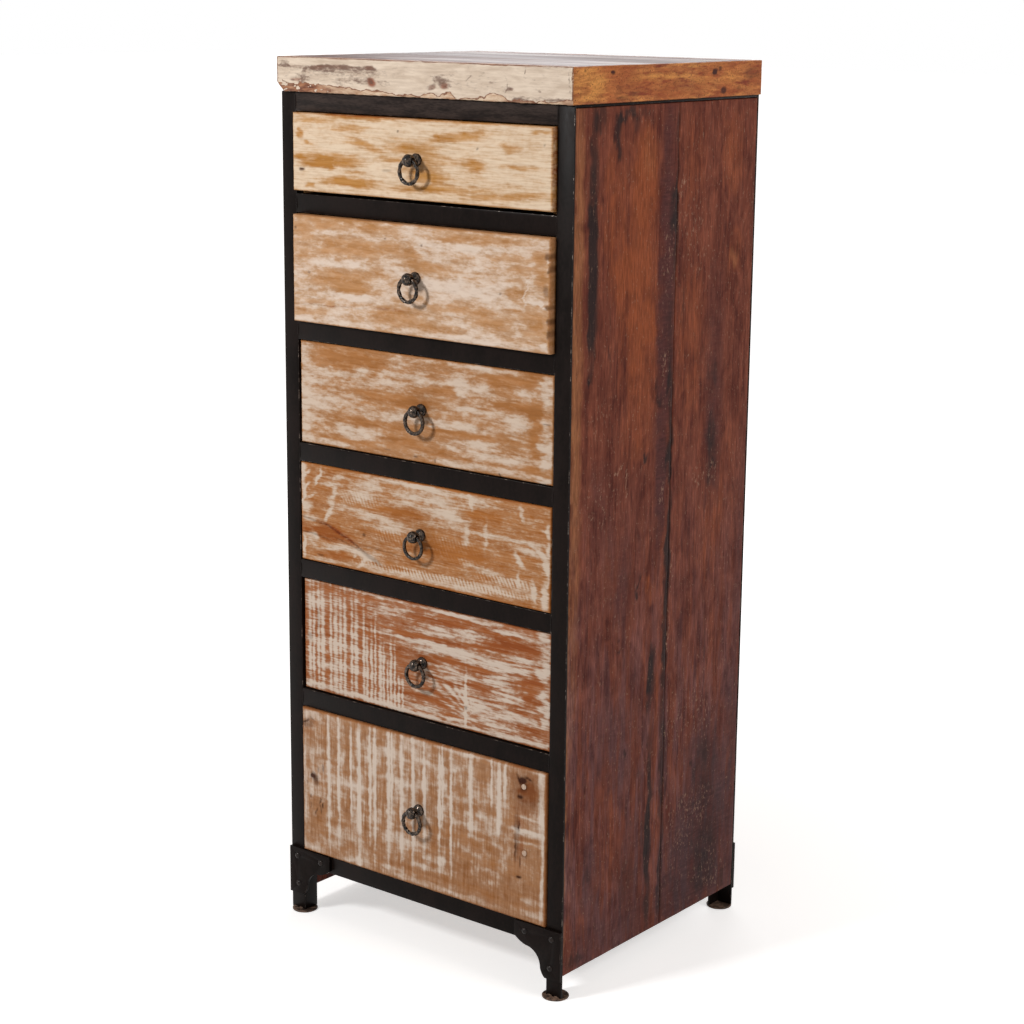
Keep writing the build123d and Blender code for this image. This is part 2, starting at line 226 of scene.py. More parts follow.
# %% Whitewash
def whitewash(name, woods, veil, wash, stroke, frayed, shift, fibres=(30, 6, 2.2)):
    """Oiled wood under wiped paint, which follows the board's wash, stain and heart masks."""
    made, tree, shader = new_finish(name)
    figure = drawn_out(tree, (120, 30, 8), detail=4.0, shift=shift, warp=0.5)
    # real fibres are under half a millimetre wide; they are drawn coarser so that they show
    fibre = drawn_out(tree, fibres, detail=2.0, shift=shift + 3)
    brush = drawn_out(tree, stroke, detail=3.0, shift=shift + 7)
    mottle = drawn_out(tree, (8, 6, 4.5), detail=3.0, shift=shift + 11)
    keys = ("wash", "stain", "heart")
    masks = {key: put(tree, "Attribute", {}, attribute_name=key).outputs["Fac"] for key in keys}
    # the wood first, then how much paint there is: the mask, frayed by strokes, fibres and mottles
    tone = put(tree, "MapRange", {"Value": figure, "From Min": 0.36, "From Max": 0.64})
    wood = put(tree, "Mix", {"Factor": tone, UNDER: woods[0], OVER: woods[1]}, data_type="RGBA")
    reddish = put(tree, "Mix", {"Factor": masks["heart"], UNDER: wood, OVER: "#8A4520"}, data_type="RGBA")
    cover = masks["wash"]
    for pattern, amount in ((brush, 1.4), (fibre, 1.1), (mottle, 1.1)):
        centred = put(tree, "Math", {0: pattern, 1: 0.5}, operation="SUBTRACT")
        cover = put(tree, "Math", {0: centred, 1: amount * frayed, 2: cover}, operation="MULTIPLY_ADD")
    # a thin veil, thick paint over it, and fibres and stains that show through both
    thin = put(tree, "MapRange", {"Value": cover, "From Min": 0.05, "From Max": 0.62, "To Max": 0.9})
    thick = put(tree, "MapRange", {"Value": cover, "From Min": 0.36, "From Max": 1.06},
                interpolation_type="SMOOTHSTEP")
    veiled = put(tree, "Mix", {"Factor": thin, UNDER: reddish, OVER: veil}, data_type="RGBA")
    painted = put(tree, "Mix", {"Factor": thick, UNDER: veiled, OVER: wash}, data_type="RGBA")
    lines = put(tree, "MapRange", {"Value": fibre, "From Min": 0.3, "From Max": 0.6,
                                   "To Min": 0.9, "To Max": 1.05})
    shows = put(tree, "MapRange", {"Value": thick, "To Min": 1.0, "To Max": 0.45})
    lined = put(tree, "Mix", {"Factor": shows, UNDER: painted, OVER: lines},
                data_type="RGBA", blend_type="MULTIPLY")
    soiled = put(tree, "Mix", {"Factor": masks["stain"], UNDER: lined, OVER: "#4A2410"},
                 data_type="RGBA", blend_type="MULTIPLY")
    height = put(tree, "Math", {0: fibre, 1: 0.8, 2: thick}, operation="MULTIPLY_ADD")
    bump = put(tree, "Bump", {"Height": height, "Distance": 0.3 * mm, "Strength": 0.5})
    rough = put(tree, "MapRange", {"Value": thick, "To Min": 0.45, "To Max": 0.62})
    wire(tree, shader, {"Base Color": soiled, "Roughness": rough, "Normal": bump, "Specular IOR Level": 0.06})
    return made


front_finishes = [
    # warm cream, nearly closed, with honey-coloured wood in the wipes
    whitewash("creamwashed_mango", ("#AC763A", "#BE8B50"), veil="#CCA985", wash="#E1CCB3",
              stroke=(52, 8, 7), frayed=0.6, shift=0.0),
    # a pinkish white haze over tan wood
    whitewash("pale_whitewashed_mango", ("#AE7D4F", "#C29369"), veil="#C9A88B", wash="#DECBBB",
              stroke=(30, 8, 10), frayed=0.8, shift=11.0, fibres=(20, 6, 4.6)),
    # tan wood and chalky streaks in equal parts
    whitewash("brushed_whitewashed_mango", ("#9E683A", "#B07A4C"), veil="#B88F6C", wash="#D4C0AE",
              stroke=(34, 8, 10), frayed=0.8, shift=23.0, fibres=(22, 6, 4.2)),
    # orange wood with white left in scratches and saw marks
    whitewash("wiped_whitewashed_mango", ("#985A2A", "#AE703C"), veil="#B68B66", wash="#D3C0AE",
              stroke=(34, 8, 9), frayed=0.8, shift=37.0),
    # red-brown wood with white stripes and streaks
    whitewash("sawn_whitewashed_mango", ("#904E28", "#A46238"), veil="#AC8062", wash="#D4C3B4",
              stroke=(30, 8, 5), frayed=0.95, shift=41.0),
    # tan wood under upright, dripping white, so its fibres stand upright too
    whitewash("striped_whitewashed_mango", ("#92603A", "#A67248"), veil="#B08A6C", wash="#D8C8BA",
              stroke=(18, 8, 18), frayed=0.5, shift=59.0, fibres=(2.6, 6, 24)),
]
print("front finishes", [made.name for made in front_finishes])

# %% [markdown]
# ## Boards
# A board is a flat grid first, because a fine grid can carry the painted masks. Its rim is pulled back
# over a quarter round in three small extrusions, then straight back to the board's thickness, and closed.
# A bevelled cube would be quicker, but its faces have no points inside them to paint.

# %% Boards
facings = {"front": (90, 0), "right": (90, 90), "back": (90, 180), "left": (90, -90), "up": (0, 0)}


def added(name):
    """The object that an operator has just added, under its name."""
    piece = bpy.context.object
    piece.name = piece.data.name = name
    return piece


def board(name, low, high, facing, cell, edge):
    """A board between two corners, with a fine grid on the face that shows and a worn edge round it."""
    across = 1 if facing in ("right", "left") else 0
    upward = 1 if facing == "up" else 2
    into = 3 - across - upward
    size = high - low
    width, height, depth = size[across], size[upward], size[into]
    bpy.ops.object.select_all(action="DESELECT")
    columns, rows = round(width / mm / cell[0]), round(height / mm / cell[1])
    bpy.ops.mesh.primitive_grid_add(x_subdivisions=columns, y_subdivisions=rows, size=1)
    piece = added(name)
    bpy.ops.object.mode_set(mode="EDIT")
    wide, tall, back = width - 2 * edge, height - 2 * edge, 0.0
    bpy.ops.transform.resize(value=(wide, tall, 1))
    bpy.ops.mesh.select_mode(type="EDGE")
    bpy.ops.mesh.select_all(action="DESELECT")
    bpy.ops.mesh.select_non_manifold()
    for angle in (math.radians(30), math.radians(60), math.radians(90)):
        grown = 2 * edge * (1 - math.sin(angle))
        sunk = edge * (1 - math.cos(angle))
        bpy.ops.mesh.extrude_edges_move(TRANSFORM_OT_translate={"value": (0, 0, back - sunk)})
        growth = ((width - grown) / wide, (height - grown) / tall, 1)
        bpy.ops.transform.resize(value=growth, center_override=(0, 0, 0))
        wide, tall, back = width - grown, height - grown, sunk
    bpy.ops.mesh.extrude_edges_move(TRANSFORM_OT_translate={"value": (0, 0, back - depth)})
    bpy.ops.mesh.edge_face_add()
    bpy.ops.mesh.select_all(action="SELECT")
    bpy.ops.mesh.normals_make_consistent(inside=False)
    bpy.ops.object.mode_set(mode="OBJECT")
    place = (low + high) / 2
    place[into] = low[into] if facing in ("front", "left") else high[into]
    piece.location = place
    tip, turn = facings[facing]
    piece.rotation_euler = (math.radians(tip), 0, math.radians(turn))
    bpy.ops.object.transform_apply()
    return piece


print("facings", list(facings))

# %% [markdown]
# No old board or casting is quite flat, so a Displace modifier pushes the surface in and out by a cloud
# texture. Every finished piece then goes the same way: it gets its finish, smooth shading that keeps
# sharp edges and the body it moves with, and the imported nodes that it stands for are hidden.

# %% Uneven faces and settled pieces
def uneven(piece, size, depth, group=""):
    """Push the surface in and out by a cloud pattern, as on old boards and hammered iron."""
    clouds = bpy.data.textures.new(piece.name + "_clouds", "CLOUDS")
    clouds.noise_scale = size * mm
    lumps = piece.modifiers.new("uneven", "DISPLACE")
    lumps.texture, lumps.strength, lumps.vertex_group = clouds, depth * mm, group
    bpy.context.view_layer.objects.active = piece
    bpy.ops.object.modifier_apply(modifier=lumps.name)


def pick(piece):
    """Select this piece alone, for the operators that act on what is selected."""
    bpy.ops.object.select_all(action="DESELECT")
    piece.select_set(True)
    bpy.context.view_layer.objects.active = piece


crease = math.radians(38)


def settle(piece, body, slot, finishes, *nodes):
    """Give a finished piece its finish and its body, and hide the nodes that it stands for; slot is not used.
    """
    if not piece.data.materials:
        for made in finishes:
            piece.data.materials.append(made)
    pick(piece)
    bpy.ops.object.shade_smooth_by_angle(angle=crease)
    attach(piece, body)
    if nodes:
        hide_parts(*nodes)


print("edges over", round(math.degrees(crease)), "degrees stay sharp")

# %% [markdown]
# Marks are painted on a board's points as masks, one number per point. Noise tears their outlines, as a
# dry brush does. It could come from a texture, but here it has to shift the marks before they are drawn,
# so it is worked out on the points, from seeds that stay the same.

# %% Noise on the points
def points_of(piece):
    """The piece's points in mm: across from the middle, back from the front of the frame, and up."""
    flat = np.empty(len(piece.data.vertices) * 3)
    piece.data.vertices.foreach_get("co", flat)
    return ((flat.reshape(-1, 3) - (0, front, 0)) / mm).T


def ripple(across, upward, size, seed):
    """Smooth noise, about -1 to 1, with clouds of this size in mm, the same in each run."""
    tiles = 97
    turns = np.random.default_rng(seed).uniform(0, 2 * math.pi, (tiles, tiles))
    a, u = across / size[0] + 41.3, upward / size[1] + 17.7
    column, row = np.floor(a).astype(int), np.floor(u).astype(int)
    total = np.zeros(len(a))
    for aside, over in ((0, 0), (1, 0), (0, 1), (1, 1)):
        p, q = a - column - aside, u - row - over
        turn = turns[(column + aside) % tiles, (row + over) % tiles]
        near = (1 - abs(p)) ** 2 * (1 + 2 * abs(p)) * (1 - abs(q)) ** 2 * (1 + 2 * abs(q))
        total += near * (p * np.cos(turn) + q * np.sin(turn))
    return 1.7 * total


def ragged(across, upward, size, seed):
    """Three such noises, each half as large as the one before."""
    total = 0.0
    for step in range(3):
        total += 0.6 ** step * ripple(across, upward, (size[0] / 2 ** step, size[1] / 2 ** step), seed + step)
    return total


print("noise at the middle of the chest", ripple(np.zeros(1), np.full(1, 600.0), (34, 11), 3).round(3))

# %% [markdown]
# A mark is its middle across and above the floor, its length and height in mm, its strength and a turn in
# degrees. A soft box shape gives its cover, which is full in the middle and fades over the outline.

# %% Brush marks
def dabs(across, upward, marks, fray=(8.0, 2.2), upright=False, firm=0.9):
    """How strongly brush marks cover each point; fray is how far in mm their outlines are torn."""
    total = np.zeros(len(across))
    size = (16, 34) if upright else (34, 11)
    tear, sway = ragged(across, upward, size, 3), ragged(across, upward, size, 30)
    shaken, raised = across + fray[0] * tear, upward + fray[1] * sway
    for x, z, length, height, amount, *turn in marks:
        angle = math.radians(turn[0]) if turn else 0.0
        along = np.abs((shaken - x) * math.cos(angle) + (raised - z) * math.sin(angle)) / (length / 2)
        over = np.abs((raised - z) * math.cos(angle) - (shaken - x) * math.sin(angle)) / (height / 2)
        soft = np.clip((1.0 + firm / 2 - (along**2.6 + over**2.6) ** (1 / 2.6)) / firm, 0, 1)
        total += amount * soft * soft * (3 - 2 * soft)
    return total * (1 + 0.25 * tear)


def paint(piece, **masks):
    """Store one number per point under each mask's name."""
    for name, values in masks.items():
        layer = piece.data.attributes.new(name, "FLOAT", "POINT")
        layer.data.foreach_set("value", np.asarray(values, np.float32))


print("a mark of 20 by 20 mm, from its middle outwards",
      dabs(np.arange(0.0, 16.0, 5.0), np.zeros(4), [(0, 0, 20, 20, 1.0)], fray=(0, 0)).round(2))

# %% [markdown]
# ## The six fronts: where the paint went
# The wash lies thick on the top drawer and grows thinner down the chest. Each front gets a base amount,
# and listed marks add paint or rub it off: long soft wipes along the grain on the upper fronts, and
# upright saw stripes, which kept their paint, on the two lowest.

# %% Marks on the fronts
wiped = {
    1: (0.84, [
        (-145, 1070, 95, 15, -0.8), (-150, 1060, 16, 9, -0.7), (-85, 1090, 62, 10, -0.7, -13),
        (-110, 1043, 88, 11, -0.9), (-172, 1120, 50, 8, -0.6), (-110, 1113, 60, 9, -0.45),
        (-100, 1126, 110, 5, -0.6), (72, 1110, 96, 11, -0.65, 7), (-5, 1091, 76, 12, -0.5),
        (94, 1075, 34, 17, -0.6), (152, 1100, 24, 10, -0.45), (18, 1058, 56, 14, -0.5),
        (25, 1042, 124, 8, -0.55, 3), (152, 1041, 130, 7, -0.5, 5), (168, 1077, 60, 5, -0.5),
        (-200, 1103, 13, 12, -0.7), (-193, 1090, 18, 5, -0.7), (-185, 1036, 18, 6, -0.7),
        (-176, 1062, 28, 4, -0.5), (-105, 1055, 40, 5, -0.5), (200, 1121, 26, 5, -0.5),
        (-40, 1075, 40, 7, -0.45), (60, 1128, 170, 3, -0.3), (-200, 1071, 22, 5, -0.5),
        (14, 1062, 64, 36, -0.3), (45, 1079, 120, 12, -0.3), (100, 1046, 150, 24, -0.2),
        (-5, 1096, 90, 14, -0.2),
    ]),
    2: (0.62, [
        (-128, 988, 160, 13, -0.5), (-115, 957, 95, 22, -0.55), (-35, 962, 70, 12, -0.4),
        (52, 984, 52, 18, -0.4), (132, 985, 80, 13, -0.4), (160, 967, 66, 11, -0.35),
        (-200, 972, 36, 22, -0.35), (-200, 948, 24, 18, -0.4), (0, 948, 38, 24, -0.5), (40, 944, 56, 11, -0.4),
        (165, 951, 26, 14, -0.35), (-128, 914, 92, 24, -0.55), (-105, 903, 66, 8, -0.45),
        (-64, 934, 42, 16, -0.35), (165, 925, 27, 22, -0.5), (160, 900, 24, 8, -0.5), (78, 895, 100, 9, -0.5),
        (-30, 881, 76, 15, -0.5), (-165, 883, 44, 7, -0.45), (126, 883, 60, 15, -0.5), (0, 868, 126, 11, -0.5),
        (-200, 866, 44, 9, -0.4), (206, 955, 30, 44, -0.45), (197, 888, 38, 42, -0.5),
        (-90, 937, 130, 9, 0.35), (75, 920, 150, 22, 0.4), (95, 858, 120, 9, 0.4), (-110, 893, 90, 9, 0.35),
        (-150, 858, 120, 8, 0.3), (25, 972, 40, 14, 0.35), (100, 973, 90, 10, 0.3),
        (210, 965, 10, 2.5, 0.9, 30), (204, 912, 18, 2.5, 0.9, -32), (210, 862, 10, 10, 0.5),
        (178, 925, 3, 34, 0.5), (190, 914, 24, 5, 0.4),
    ]),
    3: (0.46, [
        (-208, 755, 26, 150, 0.4), (-107, 797, 28, 13, 0.5), (-150, 788, 66, 9, 0.4), (-50, 785, 116, 9, 0.4),
        (-20, 796, 136, 8, 0.4), (120, 821, 90, 8, 0.45), (66, 793, 25, 26, 0.55), (100, 793, 30, 18, 0.4),
        (170, 800, 28, 14, 0.4), (-186, 776, 26, 14, 0.4), (84, 766, 80, 7, 0.5), (156, 757, 34, 20, 0.45),
        (-172, 745, 60, 26, 0.35), (-62, 741, 96, 13, 0.35), (64, 742, 100, 9, 0.4), (-110, 713, 104, 15, 0.4),
        (92, 722, 60, 10, 0.45), (128, 709, 130, 9, 0.4), (100, 693, 120, 9, 0.45), (-170, 691, 80, 9, 0.4),
        (205, 728, 18, 70, 0.5), (203, 806, 18, 40, 0.45), (-42, 813, 42, 12, 0.3), (202, 690, 20, 12, 0.5),
        (-118, 808, 128, 27, -0.45), (158, 812, 76, 20, -0.4), (10, 784, 76, 9, -0.35),
        (-30, 765, 132, 12, -0.4), (-98, 728, 112, 11, -0.4), (-34, 712, 72, 11, -0.4),
        (62, 733, 134, 6, -0.4), (186, 750, 20, 60, -0.4), (162, 779, 64, 13, -0.4), (190, 702, 44, 14, -0.4),
        (-128, 699, 84, 8, -0.35), (40, 703, 100, 8, -0.3),
    ]),
    4: (0.36, [
        (-186, 640, 16, 4, 0.4, 40), (-148, 646, 30, 7, 0.35, 20), (-156, 622, 26, 7, 0.5, 58),
        (-164, 596, 34, 6, 0.6, 62), (-212, 636, 9, 44, 0.6), (-205, 598, 20, 13, 0.7),
        (-203, 582, 22, 8, 0.5), (-98, 640, 50, 30, 0.4), (-110, 622, 70, 18, 0.3), (-34, 655, 96, 7, 0.5),
        (22, 652, 100, 8, 0.6), (8, 640, 120, 11, 0.5), (46, 622, 60, 24, 0.55), (-18, 627, 70, 8, 0.4),
        (-82, 600, 124, 11, 0.45, -5), (-60, 588, 66, 8, 0.35), (85, 647, 24, 6, 0.5, 102),
        (102, 649, 42, 12, 0.4), (169, 643, 26, 6, 0.45, 100), (130, 607, 126, 5, 0.6),
        (77, 600, 30, 9, 0.45, 80), (110, 619, 18, 5, 0.35, 80), (165, 583, 23, 7, 0.65, 128),
        (204, 588, 32, 8, 0.6, 116), (186, 595, 34, 9, 0.5), (163, 557, 20, 4, 0.5, 95),
        (189, 545, 28, 8, 0.65, 98), (212, 600, 7, 70, 0.6), (208, 542, 10, 42, 0.6),
        (102, 562, 60, 8, 0.45, -8), (152, 550, 70, 13, 0.4), (90, 537, 200, 11, 0.4), (0, 530, 240, 7, 0.45),
        (-92, 545, 46, 18, 0.4), (-150, 548, 86, 9, 0.4, 6), (-195, 555, 20, 13, 0.5), (-212, 652, 12, 9, 0.5),
        (-204, 645, 13, 4, 0.6, 40), (-205, 624, 22, 4, 0.6, 52), (-197, 613, 14, 4, 0.6, 24),
        (-209, 611, 15, 5, 0.6, 62), (-183, 641, 24, 4.5, 0.7, 66), (-167, 634, 40, 3, 0.5, 3),
        (-190, 560, 15, 7, 0.6, -32), (-209, 548, 6, 18, 0.6), (-210, 534, 7, 20, 0.6),
        (-165, 544, 50, 4, 0.3, 13), (-104, 533, 34, 5, 0.4, 40), (-92, 541, 20, 12, 0.3),
        (-170, 528, 60, 4, 0.4), (-118, 541, 16, 4, 0.4, 60), (111, 602, 24, 5, 0.5, 82),
        (193, 601, 30, 4, 0.4, -28), (207, 578, 20, 5, 0.3, 104), (-40, 613, 110, 9, -0.3),
        (105, 630, 60, 11, -0.3), (-170, 566, 90, 16, -0.4), (-150, 537, 66, 11, -0.4),
        (55, 574, 130, 20, -0.3),
    ]),
    5: (0.4, [
        (-130, 420, 170, 150, -0.17), (70, 490, 100, 7, 0.6), (150, 482, 66, 6, 0.5),
        (52, 464, 110, 13, 0.55, 5), (-58, 474, 66, 11, 0.4, 8), (60, 437, 140, 14, 0.55),
        (150, 432, 74, 15, 0.5), (-10, 442, 150, 6, 0.4), (150, 449, 80, 6, 0.4), (205, 472, 20, 60, 0.6),
        (206, 440, 18, 20, 0.5), (207, 396, 14, 60, 0.6), (132, 411, 36, 22, 0.5), (70, 408, 64, 11, 0.4),
        (150, 394, 66, 10, 0.4), (58, 386, 84, 11, 0.4), (90, 374, 52, 14, 0.5), (90, 360, 44, 16, 0.5),
        (150, 368, 84, 13, 0.4), (130, 354, 56, 10, 0.5), (-5, 351, 120, 6, 0.5, -3), (0, 340, 170, 6, 0.6),
        (150, 342, 136, 7, 0.6), (-195, 463, 40, 12, 0.4), (-150, 410, 130, 10, 0.35),
        (-130, 378, 170, 9, 0.35), (-130, 343, 170, 9, 0.5), (-110, 492, 200, 5, 0.4),
        (150, 466, 110, 20, -0.45), (30, 449, 160, 5, -0.4), (186, 426, 58, 12, -0.5),
        (183, 404, 18, 24, -0.5), (56, 425, 120, 9, -0.35), (92, 398, 30, 18, -0.4), (-4, 366, 90, 9, -0.35),
        (172, 360, 66, 8, -0.4), (60, 478, 130, 8, -0.4),
    ]),
    6: (0.38, [
        (90, 150, 220, 90, -0.12), (-190, 250, 44, 22, 0.4), (-186, 216, 44, 18, 0.35),
        (-132, 215, 66, 15, 0.35), (-150, 140, 44, 14, 0.4), (-165, 118, 44, 12, 0.4),
        (-198, 105, 44, 11, 0.5), (-115, 104, 44, 14, 0.45), (-60, 112, 42, 5, 0.4), (-62, 276, 70, 15, 0.4),
        (-32, 237, 66, 13, 0.45), (-2, 300, 42, 22, 0.45), (40, 256, 34, 17, 0.4), (15, 276, 66, 10, 0.35),
        (74, 280, 32, 20, 0.35), (84, 207, 124, 8, 0.5), (120, 191, 66, 7, 0.4), (90, 306, 96, 6, 0.6),
        (200, 306, 40, 6, 0.5), (122, 258, 24, 22, 0.35), (122, 224, 34, 12, 0.35), (96, 172, 44, 11, 0.4),
        (145, 171, 15, 26, 0.4), (120, 150, 34, 8, 0.35), (118, 135, 30, 10, 0.4), (20, 127, 66, 7, 0.45),
        (-30, 156, 66, 17, 0.4), (32, 145, 44, 12, 0.4), (50, 104, 160, 7, 0.45), (190, 220, 54, 9, 0.5),
        (195, 126, 28, 10, 0.4), (190, 110, 54, 7, 0.45), (-196, 300, 44, 13, 0.5), (192, 275, 40, 26, -0.5),
        (70, 186, 130, 10, -0.25), (60, 120, 200, 8, -0.3), (-186, 275, 26, 22, 0.35),
        (-188, 233, 36, 13, 0.35), (-190, 190, 40, 16, 0.35), (200, 255, 18, 50, 0.35), (186, 222, 62, 5, 0.6),
        (190, 206, 50, 4, 0.5), (168, 219, 22, 4, 0.6), (186, 240, 40, 3, 0.5),
    ]),
}
print("marks", {number: len(marks) for number, (base, marks) in wiped.items()})

# %% [markdown]
# The saw stripes stand upright from the lower edge of the fifth front, and hang from the upper edge of the
# sixth, where a faint, wider stripe lies beside each. A stripe is its place across, its height and its
# width. Straight stripes of paint along the sixth front's upright rims are written as marks.

# %% Saw stripes
rising = [
    (-205, 140, 5), (-198, 150, 4), (-189, 150, 4), (-181, 140, 6), (-166, 146, 4), (-157, 142, 7),
    (-148, 140, 5), (-140, 138, 5), (-127, 140, 4), (-119, 138, 6), (-105, 130, 4), (-99, 96, 4), (-91, 104, 4),
    (-84, 118, 3), (-75, 92, 5), (-69, 84, 3), (-62, 64, 3), (-56, 90, 4), (-49, 84, 3), (-42, 50, 3),
    (-35, 46, 3), (75, 80, 3.5),
]
hanging = [
    (-166, 178, 5), (-147, 168, 5), (-124, 160, 4), (-109, 206, 7), (-89, 156, 5), (-80, 168, 5), (-55, 178, 6),
    (-49, 110, 3), (-31, 176, 7), (-11, 178, 5), (9, 168, 5), (36, 166, 5), (41, 110, 3), (56, 176, 4),
    (90, 100, 8), (125, 64, 3), (138, 100, 7), (148, 56, 4),
]
rims = [(209, 262, 9, 90, 0.5), (211, 195, 5, 70, 0.5), (210, 135, 6, 70, 0.5), (204, 285, 6, 40, 0.3),
        (-212, 190, 6, 170, 0.3)]
fifth_foot, sixth_head = 336, 309
saw_stripes = {
    5: [(x, fifth_foot + tall / 2, wide * 1.1, tall, 0.72) for x, tall, wide in rising],
    6: [(x, sixth_head - tall / 2, wide * 0.9, tall, 0.6) for x, tall, wide in hanging]
       + [(x + 4, sixth_head - tall / 2, wide * 2.8, tall, 0.16) for x, tall, wide in hanging] + rims,
}
print("stripes", {number: len(marks) for number, marks in saw_stripes.items()})

# %% [markdown]
# Dark marks are old nail stains, knots and one split, and the heart mask shows where redder heartwood
# comes through. They sit on the same boards.

# %% Stains on the fronts
stained = {
    1: [
        (-199, 1056, 9, 4, 0.9), (-50, 1062, 14, 4, 0.25), (-31, 1112, 3, 3, 0.6), (98, 1097, 3, 3, 0.6),
        (202, 1106, 3, 3, 0.5),
    ],
    2: [
        (-52, 975, 3, 3, 0.6), (10, 970, 3, 3, 0.6), (-187, 921, 4, 3, 0.6), (138, 922, 4, 3, 0.5),
        (-130, 880, 172, 1.6, 0.15, 2.5), (-210, 978, 5, 4, 0.5), (212, 973, 9, 9, 0.6), (214, 957, 4, 9, 0.6),
        (210, 930, 8, 14, 0.4), (213, 910, 8, 6, 0.5), (214, 893, 5, 9, 0.6), (214, 878, 4, 12, 0.6),
    ],
    3: [
        (-10, 693, 7, 2, 0.8), (23, 691, 2, 6, 0.7), (131, 687, 3, 7, 0.9, 20), (-60, 696, 12, 2, 0.4),
        (205, 763, 12, 1.5, 0.5),
    ],
    4: [
        (-195, 580, 56, 2.4, 0.4, -8), (-152, 571, 46, 2.6, 0.55, -20), (-117, 558, 44, 3, 0.5, -24),
        (-85, 543, 34, 6, 0.35, -20), (-66, 557, 60, 2, 0.35, -3), (-190, 560, 60, 2.4, 0.4, -4),
        (-130, 556, 50, 2.4, 0.45, -14), (-100, 574, 5, 5, 0.6), (-180, 533, 12, 3, 0.6),
    ],
    5: [(75, 366, 5, 5, 0.5), (-205, 412, 8, 10, 0.35), (-190, 440, 5, 30, 0.3)],
    6: [
        (177, 292, 12, 8, 0.9), (172, 268, 9, 5, 0.85), (182, 275, 44, 50, 0.28), (168, 215, 8, 60, 0.4),
        (172, 156, 9, 4, 0.85), (-191, 206, 10, 15, 0.7), (-198, 211, 5, 6, 0.6), (-183, 177, 3, 9, 0.7, -25),
        (-178, 171, 3, 9, 0.75), (-200, 180, 3, 6, 0.5), (-206, 287, 20, 12, 0.35), (-177, 226, 2.5, 12, 0.6),
        (-186, 222, 2.5, 8, 0.5), (-208, 200, 3, 5, 0.5), (166, 190, 3, 30, 0.4), (-196, 213, 8, 9, 0.5),
        (-190, 160, 3, 12, 0.5, -20), (-182, 165, 2.5, 14, 0.6, 10), (-201, 167, 2.5, 10, 0.5),
        (-208, 290, 14, 3, 0.5, 30), (-196, 294, 10, 2.5, 0.5, -30), (170, 292, 3, 16, 0.6, 30),
        (186, 296, 14, 3, 0.6, -20), (172, 228, 3, 14, 0.6), (174, 178, 2.5, 16, 0.5), (179, 282, 11, 12, 0.4),
        (181, 191, 11, 11, 0.4),
    ],
}
hearted = {
    1: [(217, 1078, 5, 110, 0.6), (-100, 1128, 220, 4, 0.5)],
    2: [(-130, 880, 172, 2.2, 0.8, 2.5), (-60, 884, 60, 1.8, 0.5, 2.0)],
    4: [
        (-172, 566, 104, 19, 0.5, -6), (-150, 537, 70, 12, 0.45), (-160, 574, 96, 5, 0.9, -18),
        (-105, 551, 70, 6, 0.8, -24),
    ],
    5: [(150, 466, 110, 22, 0.32), (186, 426, 56, 12, 0.4)],
    6: [(186, 278, 46, 54, 0.55), (172, 215, 16, 76, 0.6), (-204, 284, 22, 26, 0.4), (190, 240, 40, 40, 0.2)],
}
print("stains", {number: len(marks) for number, marks in stained.items()})

# %% [markdown]
# Some marks are too many to place one by one: the comb of a saw on the fourth front, the arches and
# threads of the grain on the fifth, and the broken bands between the stripes of the sixth. Waves and
# noise draw them, and a few soft marks say where.

# %% Fine figure
def fine_figure(number, x, z):
    """Saw combs, grain arches and the gaps between saw stripes, as paint to add or take off."""
    if number == 4:
        comb = np.sin((x + 0.5 * z) * 2 * math.pi / 5.8 + 2.5 * ripple(x, z, (50, 30), 6))
        low = dabs(x, z, [(140, 551, 90, 13, 0.3), (40, 536, 270, 11, 0.3), (-110, 621, 70, 18, 0.16),
                          (-40, 578, 80, 20, 0.16), (60, 578, 90, 30, 0.12)])
        return comb * low * (1 + 0.6 * ripple(x, z, (16, 8), 8))
    if number == 5:
        fan = np.arctan2(z - 352, 90 - x) * 30 + ripple(x, z, (20, 6), 8)
        arches = np.sin(fan) * dabs(x, z, [(40, 372, 80, 50, 0.3)])
        thread = ripple(x, z, (40, 3.4), 9) * dabs(x, z, [(80, 415, 240, 150, 0.45)])
        return arches + thread
    if number == 6:
        drips = 0.16 * ripple(x, z, (3.4, 40), 14) + 0.16 * ripple(x, z, (8, 26), 15)
        return (0.16 * ragged(x, z, (30, 9), 12) + drips) * dabs(x, z, [(-30, 205, 400, 200, 1.0)])
    return 0.0


print("fine figure on fronts", (4, 5, 6))

# %% [markdown]
# ## The six fronts: the boards
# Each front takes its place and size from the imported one. The grid is fine enough for a saw stripe. Paint
# wears off along the rim, so the wash mask falls away there.

